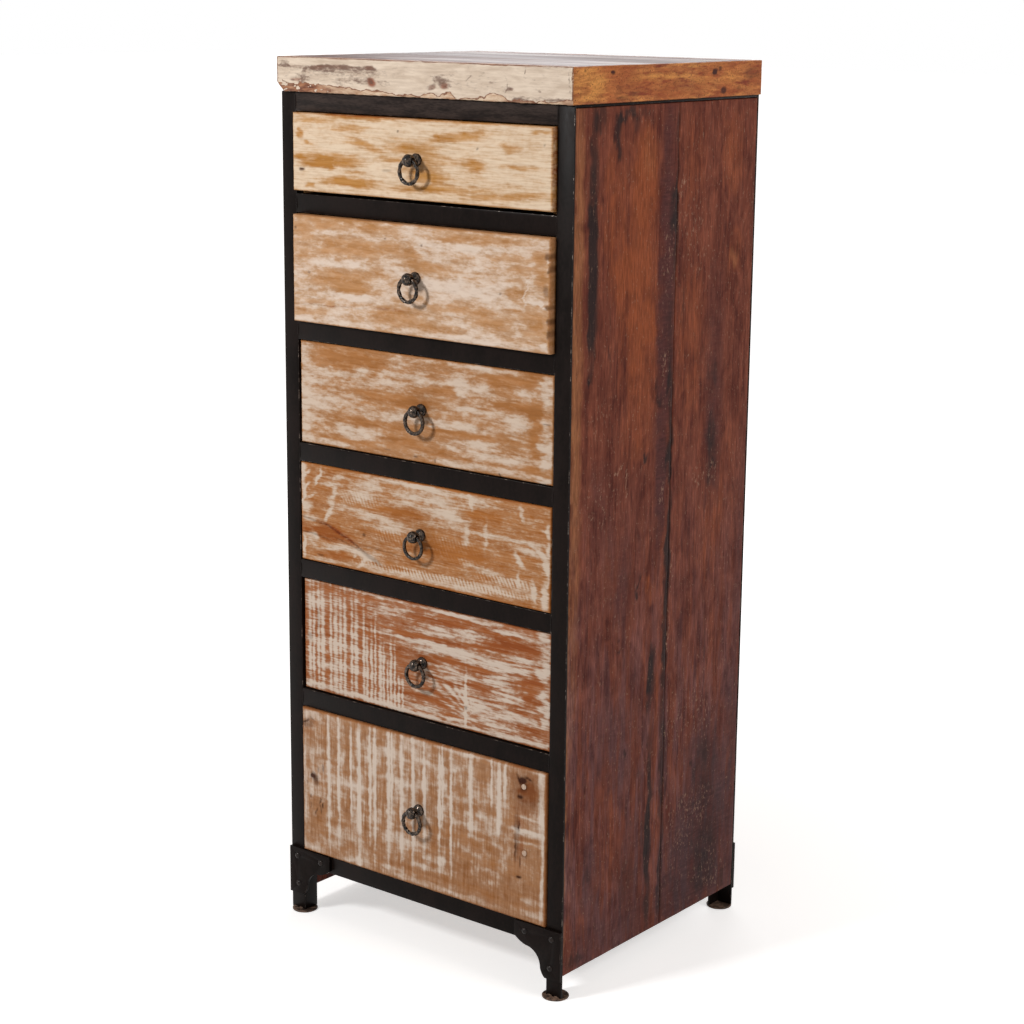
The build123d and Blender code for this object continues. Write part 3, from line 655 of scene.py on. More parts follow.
# %% Fronts
for number, finish in enumerate(front_finishes, 1):
    node = f"drawer_{number}_front"
    low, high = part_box(node)
    piece = board(f"whitewashed_front_{number}", low, high, "front", cell=(1.5, 1.6), edge=2.2 * mm)
    x, y, z = points_of(piece)
    base, marks = wiped[number]
    # the fourth front's marks are crisp, and the wipes of the sixth are faint under its stripes
    fray = (3.0, 1.6) if number == 4 else (8.0, 2.2)
    wash = base + dabs(x, z, marks, fray=fray, firm=1.5) * (0.7 if number == 6 else 1.0)
    stripes = np.clip(dabs(x, z, saw_stripes.get(number, []), fray=(0.9, 7.0), firm=1.5), 0, 0.85)
    wash = wash + stripes + fine_figure(number, x, z)
    # less paint near the rim, and none behind the face
    inset = np.minimum(np.minimum(x - low.x / mm, high.x / mm - x), np.minimum(z - low.z / mm, high.z / mm - z))
    behind = y - (low.y - front) / mm
    wash = wash - 0.5 * np.clip(1.6 - inset / 1.6, 0, 1) - np.clip((behind - 2.5) / 4, 0, 1)
    stain = np.clip(dabs(x, z, stained[number], fray=(1.4, 0.9)), 0, 0.95)
    heart = dabs(x, z, hearted.get(number, []), fray=(4.0, 1.6), firm=1.4) + np.clip(behind / 3, 0, 0.25)
    paint(piece, wash=np.clip(wash, -0.4, 1.3), stain=stain, heart=np.clip(heart, 0, 1))
    uneven(piece, size=60, depth=0.5)
    uneven(piece, size=9, depth=0.25)
    settle(piece, f"drawer_{number}", f"front_wood_{number}", [finish], node)
    print(piece.name, len(piece.data.vertices), "points")

# %% [markdown]
# ## Finishes of the body: streaked wood
# The top's side strips are oiled, orange wood with knots, the top boards are dark and polished, and the
# back boards and drawer boxes are plain. They differ in colour and grain, not in kind, so one recipe makes
# them all: streaks and blotches in three tones, fibres, pits and pale scuffs.

# %% Streaked wood
def streaked_wood(name, lengths, tones, warm, rose, dark, scuff, gloss, shine, shift):
    """Hardwood with drawn-out streaks; the board's masks add warm, rose and dark streaks."""
    made, tree, shader = new_finish(name)
    streak = drawn_out(tree, lengths, detail=4.0, shift=shift, warp=0.3)
    # fibres and flecks at least 2 mm wide, coarser than real ones, so that they show
    fibre = drawn_out(tree, [max(length / 4, 2.0) for length in lengths], detail=3.0, shift=shift + 5)
    blotch = drawn_out(tree, [length * 2 + 30 for length in lengths], detail=2.0, shift=shift + 9)
    fleck = drawn_out(tree, [max(length / 14, 2.6) for length in lengths], detail=1.0, shift=shift + 13)
    # two tones in streaks, a third in blotches, and the board's masks over them
    level = put(tree, "MapRange", {"Value": streak, "From Min": 0.36, "From Max": 0.66})
    wood = put(tree, "Mix", {"Factor": level, UNDER: tones[0], OVER: tones[1]}, data_type="RGBA")
    patch = put(tree, "MapRange", {"Value": blotch, "From Min": 0.4, "From Max": 0.62, "To Max": 0.75})
    mixed = put(tree, "Mix", {"Factor": patch, UNDER: wood, OVER: tones[2]}, data_type="RGBA")
    for key, tint, soft in (("warm", warm, 0.6), ("rose", rose, 0.6), ("dark", dark, 0.75)):
        mask = put(tree, "Attribute", {}, attribute_name=key).outputs["Fac"]
        frayed = put(tree, "Math", {0: streak, 1: 0.9, 2: mask}, operation="MULTIPLY_ADD")
        amount = put(tree, "MapRange", {"Value": frayed, "From Min": 0.5, "From Max": 0.5 + 2 * soft},
                     interpolation_type="SMOOTHSTEP")
        present = put(tree, "Math", {0: mask, 1: 4.0}, operation="MULTIPLY", use_clamp=True)
        gate = put(tree, "Math", {0: amount, 1: present}, operation="MULTIPLY")
        mixed = put(tree, "Mix", {"Factor": gate, UNDER: mixed, OVER: tint}, data_type="RGBA")
    # fibres, then dark pits and pale scuffs
    lines = put(tree, "MapRange", {"Value": fibre, "From Min": 0.3, "From Max": 0.7,
                                   "To Min": 0.76, "To Max": 1.2})
    lined = put(tree, "Mix", {"Factor": 1.0, UNDER: mixed, OVER: lines},
                data_type="RGBA", blend_type="MULTIPLY")
    pale = put(tree, "MapRange", {"Value": fleck, "From Min": 0.7, "From Max": 0.8, "To Max": 0.5})
    rubbed = put(tree, "Math", {0: pale, 1: patch}, operation="MULTIPLY")
    pitted = put(tree, "MapRange", {"Value": fleck, "From Min": 0.4, "From Max": 0.28, "To Max": 0.7})
    holed = put(tree, "Mix", {"Factor": pitted, UNDER: lined, OVER: dark}, data_type="RGBA")
    scuffed = put(tree, "Mix", {"Factor": rubbed, UNDER: holed, OVER: scuff}, data_type="RGBA")
    bump = put(tree, "Bump", {"Height": fibre, "Distance": 0.3 * mm, "Strength": 0.4})
    rough = put(tree, "MapRange", {"Value": blotch, "From Min": 0.3, "From Max": 0.7,
                                   "To Min": gloss - 0.08, "To Max": gloss + 0.1})
    wire(tree, shader, {"Base Color": scuffed, "Roughness": rough, "Normal": bump, "Specular IOR Level": shine})
    return made


orange_mango = {
    "tones": ("#782E18", "#D28C4E", "#AE643A"), "warm": "#D69650", "rose": "#8A3E20", "dark": "#38160E",
    "scuff": "#DEBA8C", "gloss": 0.5, "shine": 0.15,
}
# bright orange, speckled wood with pits and knots
edge_wood = streaked_wood("oiled_mango_edge", (9, 32, 6), shift=4.0, **orange_mango)
# the same wood with its grain along the back
end_wood = streaked_wood("oiled_mango_back_edge", (32, 9, 6), shift=5.0, **orange_mango)
# brown boards whose polish mirrors the pale room
top_wood = streaked_wood(
    "polished_top_boards", (150, 12, 7), ("#4A2A22", "#6E4536", "#5A352B"), warm="#8A5A40", rose="#4A2C2A",
    dark="#2A1B18", scuff="#9C8478", gloss=0.42, shine=0.03, shift=6.0)
# dull, sawn brown boards
back_wood = streaked_wood(
    "rough_back_boards", (6, 6, 170), ("#5E3E2C", "#80573B", "#6E4A34"), warm="#9A7048", rose="#5E3E34",
    dark="#33241C", scuff="#A58B74", gloss=0.7, shine=0.2, shift=8.0)
# clean, pale boards inside the drawers
box_wood = streaked_wood(
    "planed_drawer_boards", (12, 110, 5), ("#A67A4C", "#C79C6A", "#B88B5A"), warm="#CBA474", rose="#A87850",
    dark="#6A4A30", scuff="#D8C0A0", gloss=0.6, shine=0.2, shift=10.0)
print("wood", [made.name for made in (edge_wood, end_wood, top_wood, back_wood, box_wood)])

# %% [markdown]
# ## Finishes of the body: side planks
# The side planks are old hardwood, dark and red, planed and waxed: a satin gloss, long upright streaks and
# pale scuffs. Near the floor they are painted darker and cooler, as painted shade. They show the largest
# face of the chest, so they get a finish of their own, with more masks.

# %% Weathered hardwood
def weathered_hardwood(name):
    """Dark red waxed planks over old stains, with painted shade near the floor; masks add streaks and pale
    rubs.
    """
    made, tree, shader = new_finish(name)
    blotch = drawn_out(tree, (30, 30, 55), detail=7.0, shift=2.0, warp=0.8)
    streak = drawn_out(tree, (9, 9, 130), detail=5.0, shift=5.0, warp=0.4)
    # fibres and flecks are drawn coarser than real ones, so that they show
    fibre = drawn_out(tree, (2.6, 2.6, 22), detail=4.0, shift=8.0)
    fleck = drawn_out(tree, (2.8, 2.8, 5.0), detail=3.0, shift=11.0)
    ridge = drawn_out(tree, (24, 24, 4.5), detail=3.0, shift=14.0, warp=0.6)
    keys = ("sap", "warm", "rose", "dark", "rub")
    masks = {key: put(tree, "Attribute", {}, attribute_name=key).outputs["Fac"] for key in keys}
    patchy = put(tree, "Math", {0: streak, 1: 0.9, 2: blotch}, operation="MULTIPLY_ADD")
    level = put(tree, "MapRange", {"Value": patchy, "From Min": 0.74, "From Max": 1.16})
    mixed = put(tree, "Mix", {"Factor": level, UNDER: "#52271F", OVER: "#804736"}, data_type="RGBA")
    for key, tint in (("warm", "#8B4A2E"), ("rose", "#4C2B2A"), ("sap", "#9A6644"), ("dark", "#241C1C")):
        edge = put(tree, "Math", {0: patchy, 1: 0.8, 2: masks[key]}, operation="MULTIPLY_ADD")
        amount = put(tree, "MapRange", {"Value": edge, "From Min": 0.75, "From Max": 1.75, "To Max": 0.92},
                     interpolation_type="SMOOTHSTEP")
        present = put(tree, "Math", {0: masks[key], 1: 4.0}, operation="MULTIPLY", use_clamp=True)
        gate = put(tree, "Math", {0: amount, 1: present}, operation="MULTIPLY")
        mixed = put(tree, "Mix", {"Factor": gate, UNDER: mixed, OVER: tint}, data_type="RGBA")
    # painted shade near the floor: darker and cooler in patches, fading out at 720 mm
    where = put(tree, "SeparateXYZ", {0: put(tree, "TexCoord", {}).outputs["Object"]})
    shade_toward_floor = put(tree, "MapRange", {"Value": where.outputs["Z"], "From Min": 0.72, "From Max": 0.3})
    shade_clouds = drawn_out(tree, (14, 14, 110), detail=4.0, shift=17.0, warp=0.4)
    shade_patches = put(tree, "MapRange", {"Value": shade_clouds, "From Min": 0.4, "From Max": 0.6})
    painted_shade = put(tree, "Math", {0: shade_toward_floor, 1: shade_patches}, operation="MULTIPLY")
    shaded_cooler = put(tree, "HueSaturation", {"Fac": painted_shade, "Color": mixed,
                                         "Hue": 0.484, "Saturation": 0.74, "Value": 0.88})
    # upright fibres, but ridges across the grain where the wood is rose
    across = put(tree, "Math", {0: masks["rose"], 1: 0.8}, operation="MULTIPLY", use_clamp=True)
    ribbed = put(tree, "Mix", {"Factor": across, "A": fibre, "B": ridge})
    grain = put(tree, "MapRange", {"Value": ribbed, "From Min": 0.36, "From Max": 0.64,
                                   "To Min": 0.74, "To Max": 1.26})
    lined = put(tree, "Mix", {"Factor": 1.0, UNDER: shaded_cooler, OVER: grain},
                data_type="RGBA", blend_type="MULTIPLY")
    pale = put(tree, "Math", {0: masks["rub"], 1: 0.17, 2: fleck}, operation="MULTIPLY_ADD")
    scuff = put(tree, "MapRange", {"Value": pale, "From Min": 0.615, "From Max": 0.8, "To Max": 0.6})
    scuffed = put(tree, "Mix", {"Factor": scuff, UNDER: lined, OVER: "#B08C76"}, data_type="RGBA")
    bump = put(tree, "Bump", {"Height": ribbed, "Distance": 0.4 * mm, "Strength": 0.5})
    rough = put(tree, "MapRange", {"Value": blotch, "From Min": 0.3, "From Max": 0.7,
                                   "To Min": 0.56, "To Max": 0.42})
    wire(tree, shader, {"Base Color": scuffed, "Roughness": rough, "Normal": bump, "Specular IOR Level": 0.05})
    return made


# dark red planks, satin, with soot, sap and rubbed spots, and painted shade near the floor
mahogany = weathered_hardwood("waxed_old_hardwood")
print("planks", mahogany.name)

# %% [markdown]
# ## Finishes of the body: cream paint
# The top's front strip keeps its old cream paint, chipped to the wood and stained. A picture of peeling
# paint would do on a flat strip, but it would repeat and blur, so masks say where the paint has gone, and
# noise gives each flake its rim.

# %% Cream paint
def old_paint(name):
    """Cream paint, yellowed and rubbed, that follows the strip's stain, chip, rust and red masks."""
    made, tree, shader = new_finish(name)
    cloud = drawn_out(tree, (40, 20, 10), detail=6.0, shift=1.0, warp=0.4)
    # real grit in paint is finer than half a millimetre; it is drawn coarser so that it shows
    grit = drawn_out(tree, (7, 5, 2.6), detail=3.0, shift=4.0)
    grain = drawn_out(tree, (16, 8, 4), detail=4.0, shift=8.0)
    brush = drawn_out(tree, (30, 12, 2.4), detail=2.0, shift=12.0)
    keys = ("stain", "chip", "rust", "red")
    masks = {key: put(tree, "Attribute", {}, attribute_name=key).outputs["Fac"] for key in keys}
    # brushed paint with rust and dirt on it
    worked = put(tree, "Math", {0: brush, 1: 0.5, 2: cloud}, operation="MULTIPLY_ADD")
    level = put(tree, "MapRange", {"Value": worked, "From Min": 0.56, "From Max": 0.9})
    cream = put(tree, "Mix", {"Factor": level, UNDER: "#C2AE9A", OVER: "#DFCEBB"}, data_type="RGBA")
    rusty = put(tree, "Mix", {"Factor": masks["rust"], UNDER: cream, OVER: "#86482C"}, data_type="RGBA")
    smear = put(tree, "Math", {0: grit, 1: 1.8, 2: masks["stain"]}, operation="MULTIPLY_ADD")
    smeared = put(tree, "MapRange", {"Value": smear, "From Min": 1.1, "From Max": 2.1, "To Max": 0.85},
                  interpolation_type="SMOOTHSTEP")
    dirty = put(tree, "Mix", {"Factor": smeared, UNDER: rusty, OVER: "#5E4032"}, data_type="RGBA")
    # the wood below, tan or brown, which shows inside a dark rim where a flake is gone
    wood_level = put(tree, "MapRange", {"Value": grain, "From Min": 0.35, "From Max": 0.65})
    tan = put(tree, "Mix", {"Factor": wood_level, UNDER: "#B28A6C", OVER: "#DCC6AC"}, data_type="RGBA")
    brown = put(tree, "Mix", {"Factor": wood_level, UNDER: "#5C3020", OVER: "#A87452"}, data_type="RGBA")
    wood = put(tree, "Mix", {"Factor": masks["red"], UNDER: tan, OVER: brown}, data_type="RGBA")
    flake = put(tree, "Math", {0: grit, 1: 0.8, 2: masks["chip"]}, operation="MULTIPLY_ADD")
    rim = put(tree, "MapRange", {"Value": flake, "From Min": 0.72, "From Max": 0.86})
    bare = put(tree, "MapRange", {"Value": flake, "From Min": 1.0, "From Max": 1.12})
    rimmed = put(tree, "Mix", {"Factor": rim, UNDER: dirty, OVER: "#7A5038"}, data_type="RGBA")
    chipped = put(tree, "Mix", {"Factor": bare, UNDER: rimmed, OVER: wood}, data_type="RGBA")
    height = put(tree, "Math", {0: grit, 1: 0.3, 2: bare}, operation="SUBTRACT")
    bump = put(tree, "Bump", {"Height": height, "Distance": 0.4 * mm, "Strength": 0.6})
    wire(tree, shader, {"Base Color": chipped, "Roughness": 0.5, "Normal": bump, "Specular IOR Level": 0.3})
    return made


# yellowed paint, smeared and rusty, that flakes to brown and tan wood
cream_paint = old_paint("old_cream_paint")
print("paint", cream_paint.name)

# %% [markdown]
# ## Side planks
# Two upright planks close each side. The right pair is the one seen most, so its streaks are placed one
# by one: a sappy orange strip along the front edge, a sooty streak beside it, a dark band along the seam,
# and a redder strip with dark rims low down. A mark's middle is here back from the front and above the
# floor.

# %% Streaks on the right planks
right_sap = [
    (2, 300, 5, 560, 0.6), (11, 920, 26, 480, 0.6), (12, 560, 26, 340, 0.4), (12, 250, 22, 300, 0.2),
    (360, 946, 20, 30, 0.4), (160, 1085, 30, 70, 0.25),
]
right_warm = [
    (155, 1065, 50, 110, 0.62), (125, 1000, 90, 220, 0.42), (140, 900, 80, 180, 0.5), (150, 770, 80, 160, 0.4),
    (166, 872, 30, 60, 0.6), (75, 1020, 34, 160, 0.36), (100, 940, 40, 40, 0.3), (213, 730, 14, 60, 0.55),
    (205, 555, 22, 90, 0.3), (185, 516, 18, 26, 0.75), (205, 270, 20, 470, 0.28), (206, 80, 18, 120, 0.4),
    (95, 200, 60, 160, 0.3), (170, 530, 20, 20, 0.4), (260, 850, 60, 220, 0.4), (260, 1080, 50, 120, 0.35),
    (310, 560, 60, 120, 0.35), (350, 1080, 60, 120, 0.35), (350, 650, 60, 160, 0.25), (90, 560, 50, 60, 0.3),
    (360, 950, 40, 60, 0.4),
]
right_rose = [
    (202, 900, 36, 520, 0.9), (200, 640, 22, 140, 0.6), (320, 730, 44, 220, 0.6), (70, 660, 60, 120, 0.35),
    (330, 210, 120, 230, 0.6), (110, 320, 100, 140, 0.4), (110, 540, 70, 120, 0.45), (60, 150, 60, 120, 0.4),
    (300, 110, 160, 160, 0.6), (395, 400, 24, 700, 0.4), (320, 890, 46, 120, 0.4), (200, 60, 400, 60, 0.4),
    (150, 150, 70, 140, 0.4),
]
right_dark = [
    (41, 1030, 18, 250, 0.65), (54, 1140, 24, 30, 0.6), (43, 930, 20, 130, 0.75), (40, 1012, 18, 40, 0.6),
    (40, 845, 13, 80, 0.6), (38, 811, 9, 14, 0.7), (90, 1130, 18, 48, 0.85), (108, 1143, 44, 18, 0.7),
    (126, 1126, 18, 26, 0.55), (92, 1097, 8, 14, 0.8), (80, 870, 4, 120, 0.45), (150, 1143, 30, 16, 0.4),
    (221, 1030, 8, 230, 0.6), (214, 1010, 16, 60, 0.5), (212, 850, 16, 120, 0.45), (190, 779, 18, 26, 0.75),
    (218, 760, 13, 120, 0.65), (217, 690, 13, 46, 0.7), (165, 698, 8, 8, 0.8), (222, 620, 8, 200, 0.6),
    (240, 885, 5, 50, 0.5), (318, 790, 26, 60, 0.35), (318, 690, 26, 80, 0.6), (320, 664, 18, 9, 0.5),
    (165, 1025, 9, 9, 0.4), (315, 640, 30, 20, 0.3), (188, 400, 15, 80, 0.9), (190, 180, 13, 270, 0.85),
    (219, 520, 11, 170, 0.75), (219, 400, 11, 90, 0.7), (220, 280, 14, 130, 0.7), (222, 130, 11, 180, 0.6),
    (180, 180, 26, 50, 0.4), (325, 235, 60, 110, 0.42), (330, 110, 60, 120, 0.55), (30, 50, 44, 20, 0.6),
    (50, 155, 20, 26, 0.5), (135, 300, 9, 12, 0.6), (115, 460, 9, 10, 0.6), (55, 415, 8, 10, 0.5),
    (155, 530, 30, 6, 0.7, 58), (140, 130, 40, 60, 0.35), (160, 265, 30, 16, 0.35), (95, 265, 20, 10, 0.35),
    (312, 425, 8, 10, 0.5), (290, 240, 8, 14, 0.5), (375, 50, 16, 20, 0.5),
]
right_rub = [
    (232, 1038, 5, 22, 1.6, -25), (205, 812, 14, 24, 0.9), (204, 645, 12, 30, 0.8), (104, 692, 18, 7, 1.4, 20),
    (122, 672, 3, 46, 1.3), (70, 650, 70, 60, 0.3), (322, 665, 30, 3, 0.7, -12), (60, 770, 40, 40, 0.25),
    (300, 655, 50, 24, 0.6), (318, 47, 10, 8, 0.8), (342, 50, 12, 10, 0.9), (360, 58, 14, 12, 0.8),
    (372, 80, 8, 12, 0.8), (388, 62, 8, 12, 0.7), (296, 60, 14, 12, 0.6), (330, 90, 60, 60, 0.3),
    (310, 180, 60, 50, 0.4), (265, 980, 60, 120, 0.3), (90, 530, 30, 26, 0.4), (225, 450, 3, 60, 1.0),
    (400, 1030, 8, 40, 0.8), (10, 725, 4, 8, 1.4), (6, 388, 10, 4, 1.2), (280, 320, 120, 80, 0.3),
    (260, 160, 60, 120, 0.3), (205, 960, 30, 80, 0.35), (230, 540, 10, 60, 0.5),
]
print("streaks", len(right_sap) + len(right_warm) + len(right_rose) + len(right_dark) + len(right_rub))

# %% [markdown]
# The left pair gets its own quieter streaks. The planks of a side meet in a thin dark seam, so each is a
# board of its own with worn edges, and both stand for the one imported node.

# %% Side planks
left_warm = [
    (30, 600, 40, 900, 0.4), (150, 760, 60, 500, 0.35), (300, 420, 90, 500, 0.35), (260, 980, 50, 240, 0.35),
]
left_sap = [(392, 640, 20, 800, 0.7)]
left_rub = [(80, 700, 90, 200, 0.4), (300, 300, 120, 160, 0.4), (200, 1000, 30, 60, 0.6)]
left_rose = [(220, 700, 60, 700, 0.5), (90, 300, 80, 400, 0.5), (360, 800, 60, 500, 0.4)]
left_dark = [
    (60, 880, 16, 380, 0.45), (205, 520, 14, 700, 0.4), (320, 900, 30, 260, 0.3), (120, 300, 20, 220, 0.3),
    (340, 160, 50, 180, 0.35),
]
streaks = {
    "right": {"sap": right_sap, "warm": right_warm, "rose": right_rose, "dark": right_dark, "rub": right_rub},
    "left": {"sap": left_sap, "warm": left_warm, "rose": left_rose, "dark": left_dark, "rub": left_rub},
}
right_low, right_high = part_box("right_side_planks")
spans = ((right_low.y, front + 222.0 * mm), (front + 222.6 * mm, right_high.y))
for side, groups in streaks.items():
    low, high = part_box(f"{side}_side_planks")
    for number, (start, end) in enumerate(spans, 1):
        corners = Vector((low.x, start, low.z)), Vector((high.x, end, high.z))
        piece = board(f"{side}_plank_{number}", *corners, side, cell=(2.2, 5.0), edge=1.6 * mm)
        x, y, z = points_of(piece)
        masks = {key: dabs(y, z, marks, fray=(4.0, 16.0), upright=True, firm=1.2)
                 for key, marks in groups.items()}
        paint(piece, **{key: np.clip(mask, 0, 1.6) for key, mask in masks.items()})
        uneven(piece, size=90, depth=0.5)
        uneven(piece, size=14, depth=0.35)
        settle(piece, "chest", "plank_wood", [mahogany], f"{side}_side_planks")
        print(piece.name, len(piece.data.vertices), "points")

# %% [markdown]
# ## Top: marks on the strips
# Boards lie across the top between four edge strips, which meet in mitres at the front. The front strip
# is the painted one: paint has flaked off along its lower edge, and its lower left corner has broken off.
# The marks come first, with the torn paint line read as points along the strip.

# %% Marks on the strips
strip_stain = [
    (-229, 1192, 18, 8, 0.6), (-231, 1188, 26, 4, 0.6), (-204, 1187, 26, 5, 0.45), (-172, 1187, 36, 6, 0.7),
    (-138, 1189, 44, 5, 0.6), (-106, 1188, 26, 5, 0.6), (-80, 1189, 20, 5, 0.7), (-140, 1187, 180, 10, 0.25),
    (-196, 1171, 24, 12, 0.45), (-195, 1179, 9, 18, 0.4), (-150, 1178, 190, 20, 0.28),
    (-218, 1170, 14, 3, 0.5), (-88, 1172, 30, 9, 0.35), (-54, 1171, 26, 9, 0.45), (-77, 1172, 6, 5, 0.6),
    (22, 1169, 18, 6, 0.65), (34, 1179, 22, 14, 0.4), (46, 1173, 20, 14, 0.4), (-118, 1170, 56, 9, 0.36),
    (-120, 1184, 120, 14, 0.3), (190, 1160, 100, 6, 0.5), (225, 1158, 30, 5, 0.8), (165, 1158, 26, 4, 0.8),
    (142, 1172, 16, 10, 0.45), (148, 1170, 12, 4, 0.65), (82, 1182, 9, 3, 0.7, 35), (122, 1177, 10, 4, 0.55),
    (172, 1195, 2.4, 13, 0.7), (194, 1169, 5, 4, 0.6), (110, 1168, 40, 10, 0.25), (215, 1198, 44, 3, 0.5),
    (142, 1176, 2.2, 22, 0.55), (238, 1180, 2.4, 38, 0.65), (60, 1180, 80, 24, 0.28), (110, 1186, 30, 14, 0.2),
    (190, 1180, 60, 26, 0.1), (-20, 1186, 40, 20, 0.15),
]
strip_rust = [
    (-77, 1171, 13, 10, 1.0), (46, 1171, 11, 8, 0.7), (24, 1169, 12, 4, 0.5), (-172, 1187, 26, 5, 0.6),
    (-140, 1189, 60, 4, 0.4), (-80, 1189, 16, 4, 0.7), (-208, 1171, 20, 5, 0.5), (148, 1170, 8, 2.5, 0.5),
    (0, 1200, 490, 3, 0.6),
]
strip_red = [
    (-205, 1160, 100, 22, 1.0), (-130, 1158, 60, 12, 0.3), (160, 1156, 40, 6, 0.8), (236, 1158, 16, 8, 0.6),
    (0, 1200, 490, 4, 0.8),
]
edge_dark = [
    (72, 1192, 8, 6, 1.3), (297, 1188, 12, 9, 1.3), (308, 1191, 8, 6, 1.0), (318, 1164, 13, 9, 1.4),
    (355, 1166, 10, 6, 0.6), (388, 1184, 44, 16, 0.55), (120, 1165, 24, 6, 0.5), (93, 1160, 26, 5, 0.5),
    (44, 1157, 5, 4, 0.8), (8, 1167, 4, 4, 0.8), (230, 1172, 130, 18, 0.3), (96, 1178, 60, 40, 0.25),
    (17, 1195, 5, 4, 0.6), (85, 1170, 16, 10, 0.4),
]
edge_warm = [
    (25, 1178, 76, 44, 0.7), (150, 1184, 90, 12, 0.5), (215, 1184, 60, 8, 0.4), (270, 1178, 40, 12, 0.45),
    (335, 1180, 60, 20, 0.4), (245, 1196, 30, 6, 0.6),
]
edge_rose = [
    (205, 1170, 150, 20, 0.5), (105, 1180, 60, 34, 0.45), (200, 1192, 120, 6, 0.5), (385, 1178, 60, 30, 0.4),
    (330, 1162, 60, 8, 0.5),
]
torn_line = {
    -245: 1167, -190: 1167, -160: 1165, -120: 1164, -60: 1160, -30: 1156, 5: 1157, 12: 1162, 24: 1162, 34: 1157,
    40: 1161, 54: 1162, 62: 1156, 108: 1158, 116: 1163, 136: 1163, 144: 1157, 200: 1157, 245: 1160,
}


def flaked(x, z):
    """Where the paint has come off: below a torn line, but for flecks, and along the top rim and the ends."""
    line = np.interp(x, list(torn_line), list(torn_line.values()))
    torn = np.clip((line + 2.4 * ragged(x, z, (22, 12), 40) - z) / 5 + 0.5, 0, 1)
    flecks = np.clip(3 * ragged(x, z, (13, 6), 44) - 0.5, 0, 1) * np.clip((-140 - x) / 20, 0, 1)
    rim = 0.7 * np.clip((z + 1.0 * ragged(x, z, (40, 20), 47) - 1198.4) / 1.5, 0, 1)
    ends = 0.6 * np.clip((np.abs(x) + 0.8 * ragged(x, z, (20, 9), 52) - 241.4) / 1.0, 0, 1)
    return np.clip(np.maximum(torn - flecks, np.maximum(rim, ends)), 0, 1)


print("strip marks", sum(len(marks) for marks in (strip_stain, strip_rust, edge_dark, edge_warm, edge_rose)))

# %% [markdown]
# ## Top: the front strip
# Each strip starts as a board of its full length. The front strip is deeper than its mitres, so a block
# sliced along the mitre plane is taken from each of its ends by a Boolean. The broken corner is one more
# slice, because a chip this large shows on the outline.

# %% Front strip
def sliced(piece, point, away):
    """Cut a piece along a plane, drop the side that the normal points to, and close the cut."""
    pick(piece)
    bpy.ops.object.mode_set(mode="EDIT")
    bpy.ops.mesh.select_all(action="SELECT")
    bpy.ops.mesh.bisect(plane_co=point, plane_no=away, use_fill=True, clear_outer=True)
    bpy.ops.object.mode_set(mode="OBJECT")


low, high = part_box("top_front_edge")
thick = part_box("top_right_edge")[1].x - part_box("top_right_edge")[0].x
front_strip = board("top_front_strip", low, high, "front", cell=(1.1, 1.0), edge=1.8 * mm)
half_way = (low.z + high.z) / 2
mitres = {  # a point on each mitre and the way out of it
    "right": (Vector((high.x, low.y, half_way)), (-1, -1, 0)),
    "left": (Vector((low.x, low.y, half_way)), (1, -1, 0)),
}
for corner, away in mitres.values():
    bpy.ops.object.select_all(action="DESELECT")
    bpy.ops.mesh.primitive_cube_add(size=1)
    block = bpy.context.object
    bpy.ops.object.mode_set(mode="EDIT")
    bpy.ops.transform.resize(value=(2 * thick, 80 * mm, 80 * mm))
    bpy.ops.object.mode_set(mode="OBJECT")
    block.location = corner
    bpy.ops.object.transform_apply()
    sliced(block, corner, away)
    notch = front_strip.modifiers.new("mitre", "BOOLEAN")
    notch.operation, notch.object, notch.solver = "DIFFERENCE", block, "EXACT"
    bpy.context.view_layer.objects.active = front_strip
    bpy.ops.object.modifier_apply(modifier=notch.name)
    bpy.data.objects.remove(block)

along, inward, up = 7, 14, 13  # how far the break reaches in mm
chipped = (low + Vector((0, 0, up * mm)), -Vector((inward * up, along * up, along * inward)))
sliced(front_strip, *chipped)
print(front_strip.name, len(front_strip.data.vertices), "points after", len(mitres), "mitres")

# %% [markdown]
# Where the paint is gone, the bare wood lies deeper and is rough, so a vertex group with the chip mask
# limits one more displacement to those places.

# %% Paint of the front strip
x, y, z = points_of(front_strip)
chip = flaked(x, z)
groups = {"stain": strip_stain, "rust": strip_rust, "red": strip_red}
masks = {key: np.clip(dabs(x, z, marks, fray=(2.5, 1.2)), 0, 1) for key, marks in groups.items()}
paint(front_strip, chip=chip, **masks)
broken = front_strip.vertex_groups.new(name="broken")
for index in np.flatnonzero((chip > 0.4) & (z < 1190)):
    broken.add([int(index)], float(chip[index]), "REPLACE")
uneven(front_strip, size=7, depth=-1.6, group="broken")
uneven(front_strip, size=40, depth=0.5)
settle(front_strip, "chest", "cream_paint", [cream_paint], "top_front_edge")
print("bare points", int((chip > 0.4).sum()))

# %% [markdown]
# ## Top: side and back strips
# A side strip is sliced along the same mitre plane as the front one, and the left one also loses its share
# of the broken corner. The back strip is square at its ends.

# %% Side and back strips
groups = {"dark": edge_dark, "warm": edge_warm, "rose": edge_rose}
for name, finish in (("right", edge_wood), ("left", edge_wood), ("back", end_wood)):
    low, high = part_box(f"top_{name}_edge")
    piece = board(f"top_{name}_strip", low, high, name, cell=(1.5, 1.2), edge=1.8 * mm)
    if name in mitres:
        sliced(piece, *mitres[name])
    if name == "left":
        sliced(piece, *chipped)
    x, y, z = points_of(piece)
    along = x + 320 if name == "back" else y
    masks = {key: dabs(along, z, marks, fray=(1.6, 0.8)) for key, marks in groups.items()}
    paint(piece, **{key: np.clip(mask, 0, 1.7) for key, mask in masks.items()})
    uneven(piece, size=40, depth=0.5)
    settle(piece, "chest", "edge_wood", [finish], f"top_{name}_edge")
    print(piece.name, len(piece.data.vertices), "points")

# %% [markdown]
# ## Top: boards
# The four boards between the strips are plain, so their masks are even, and they differ only in tone.

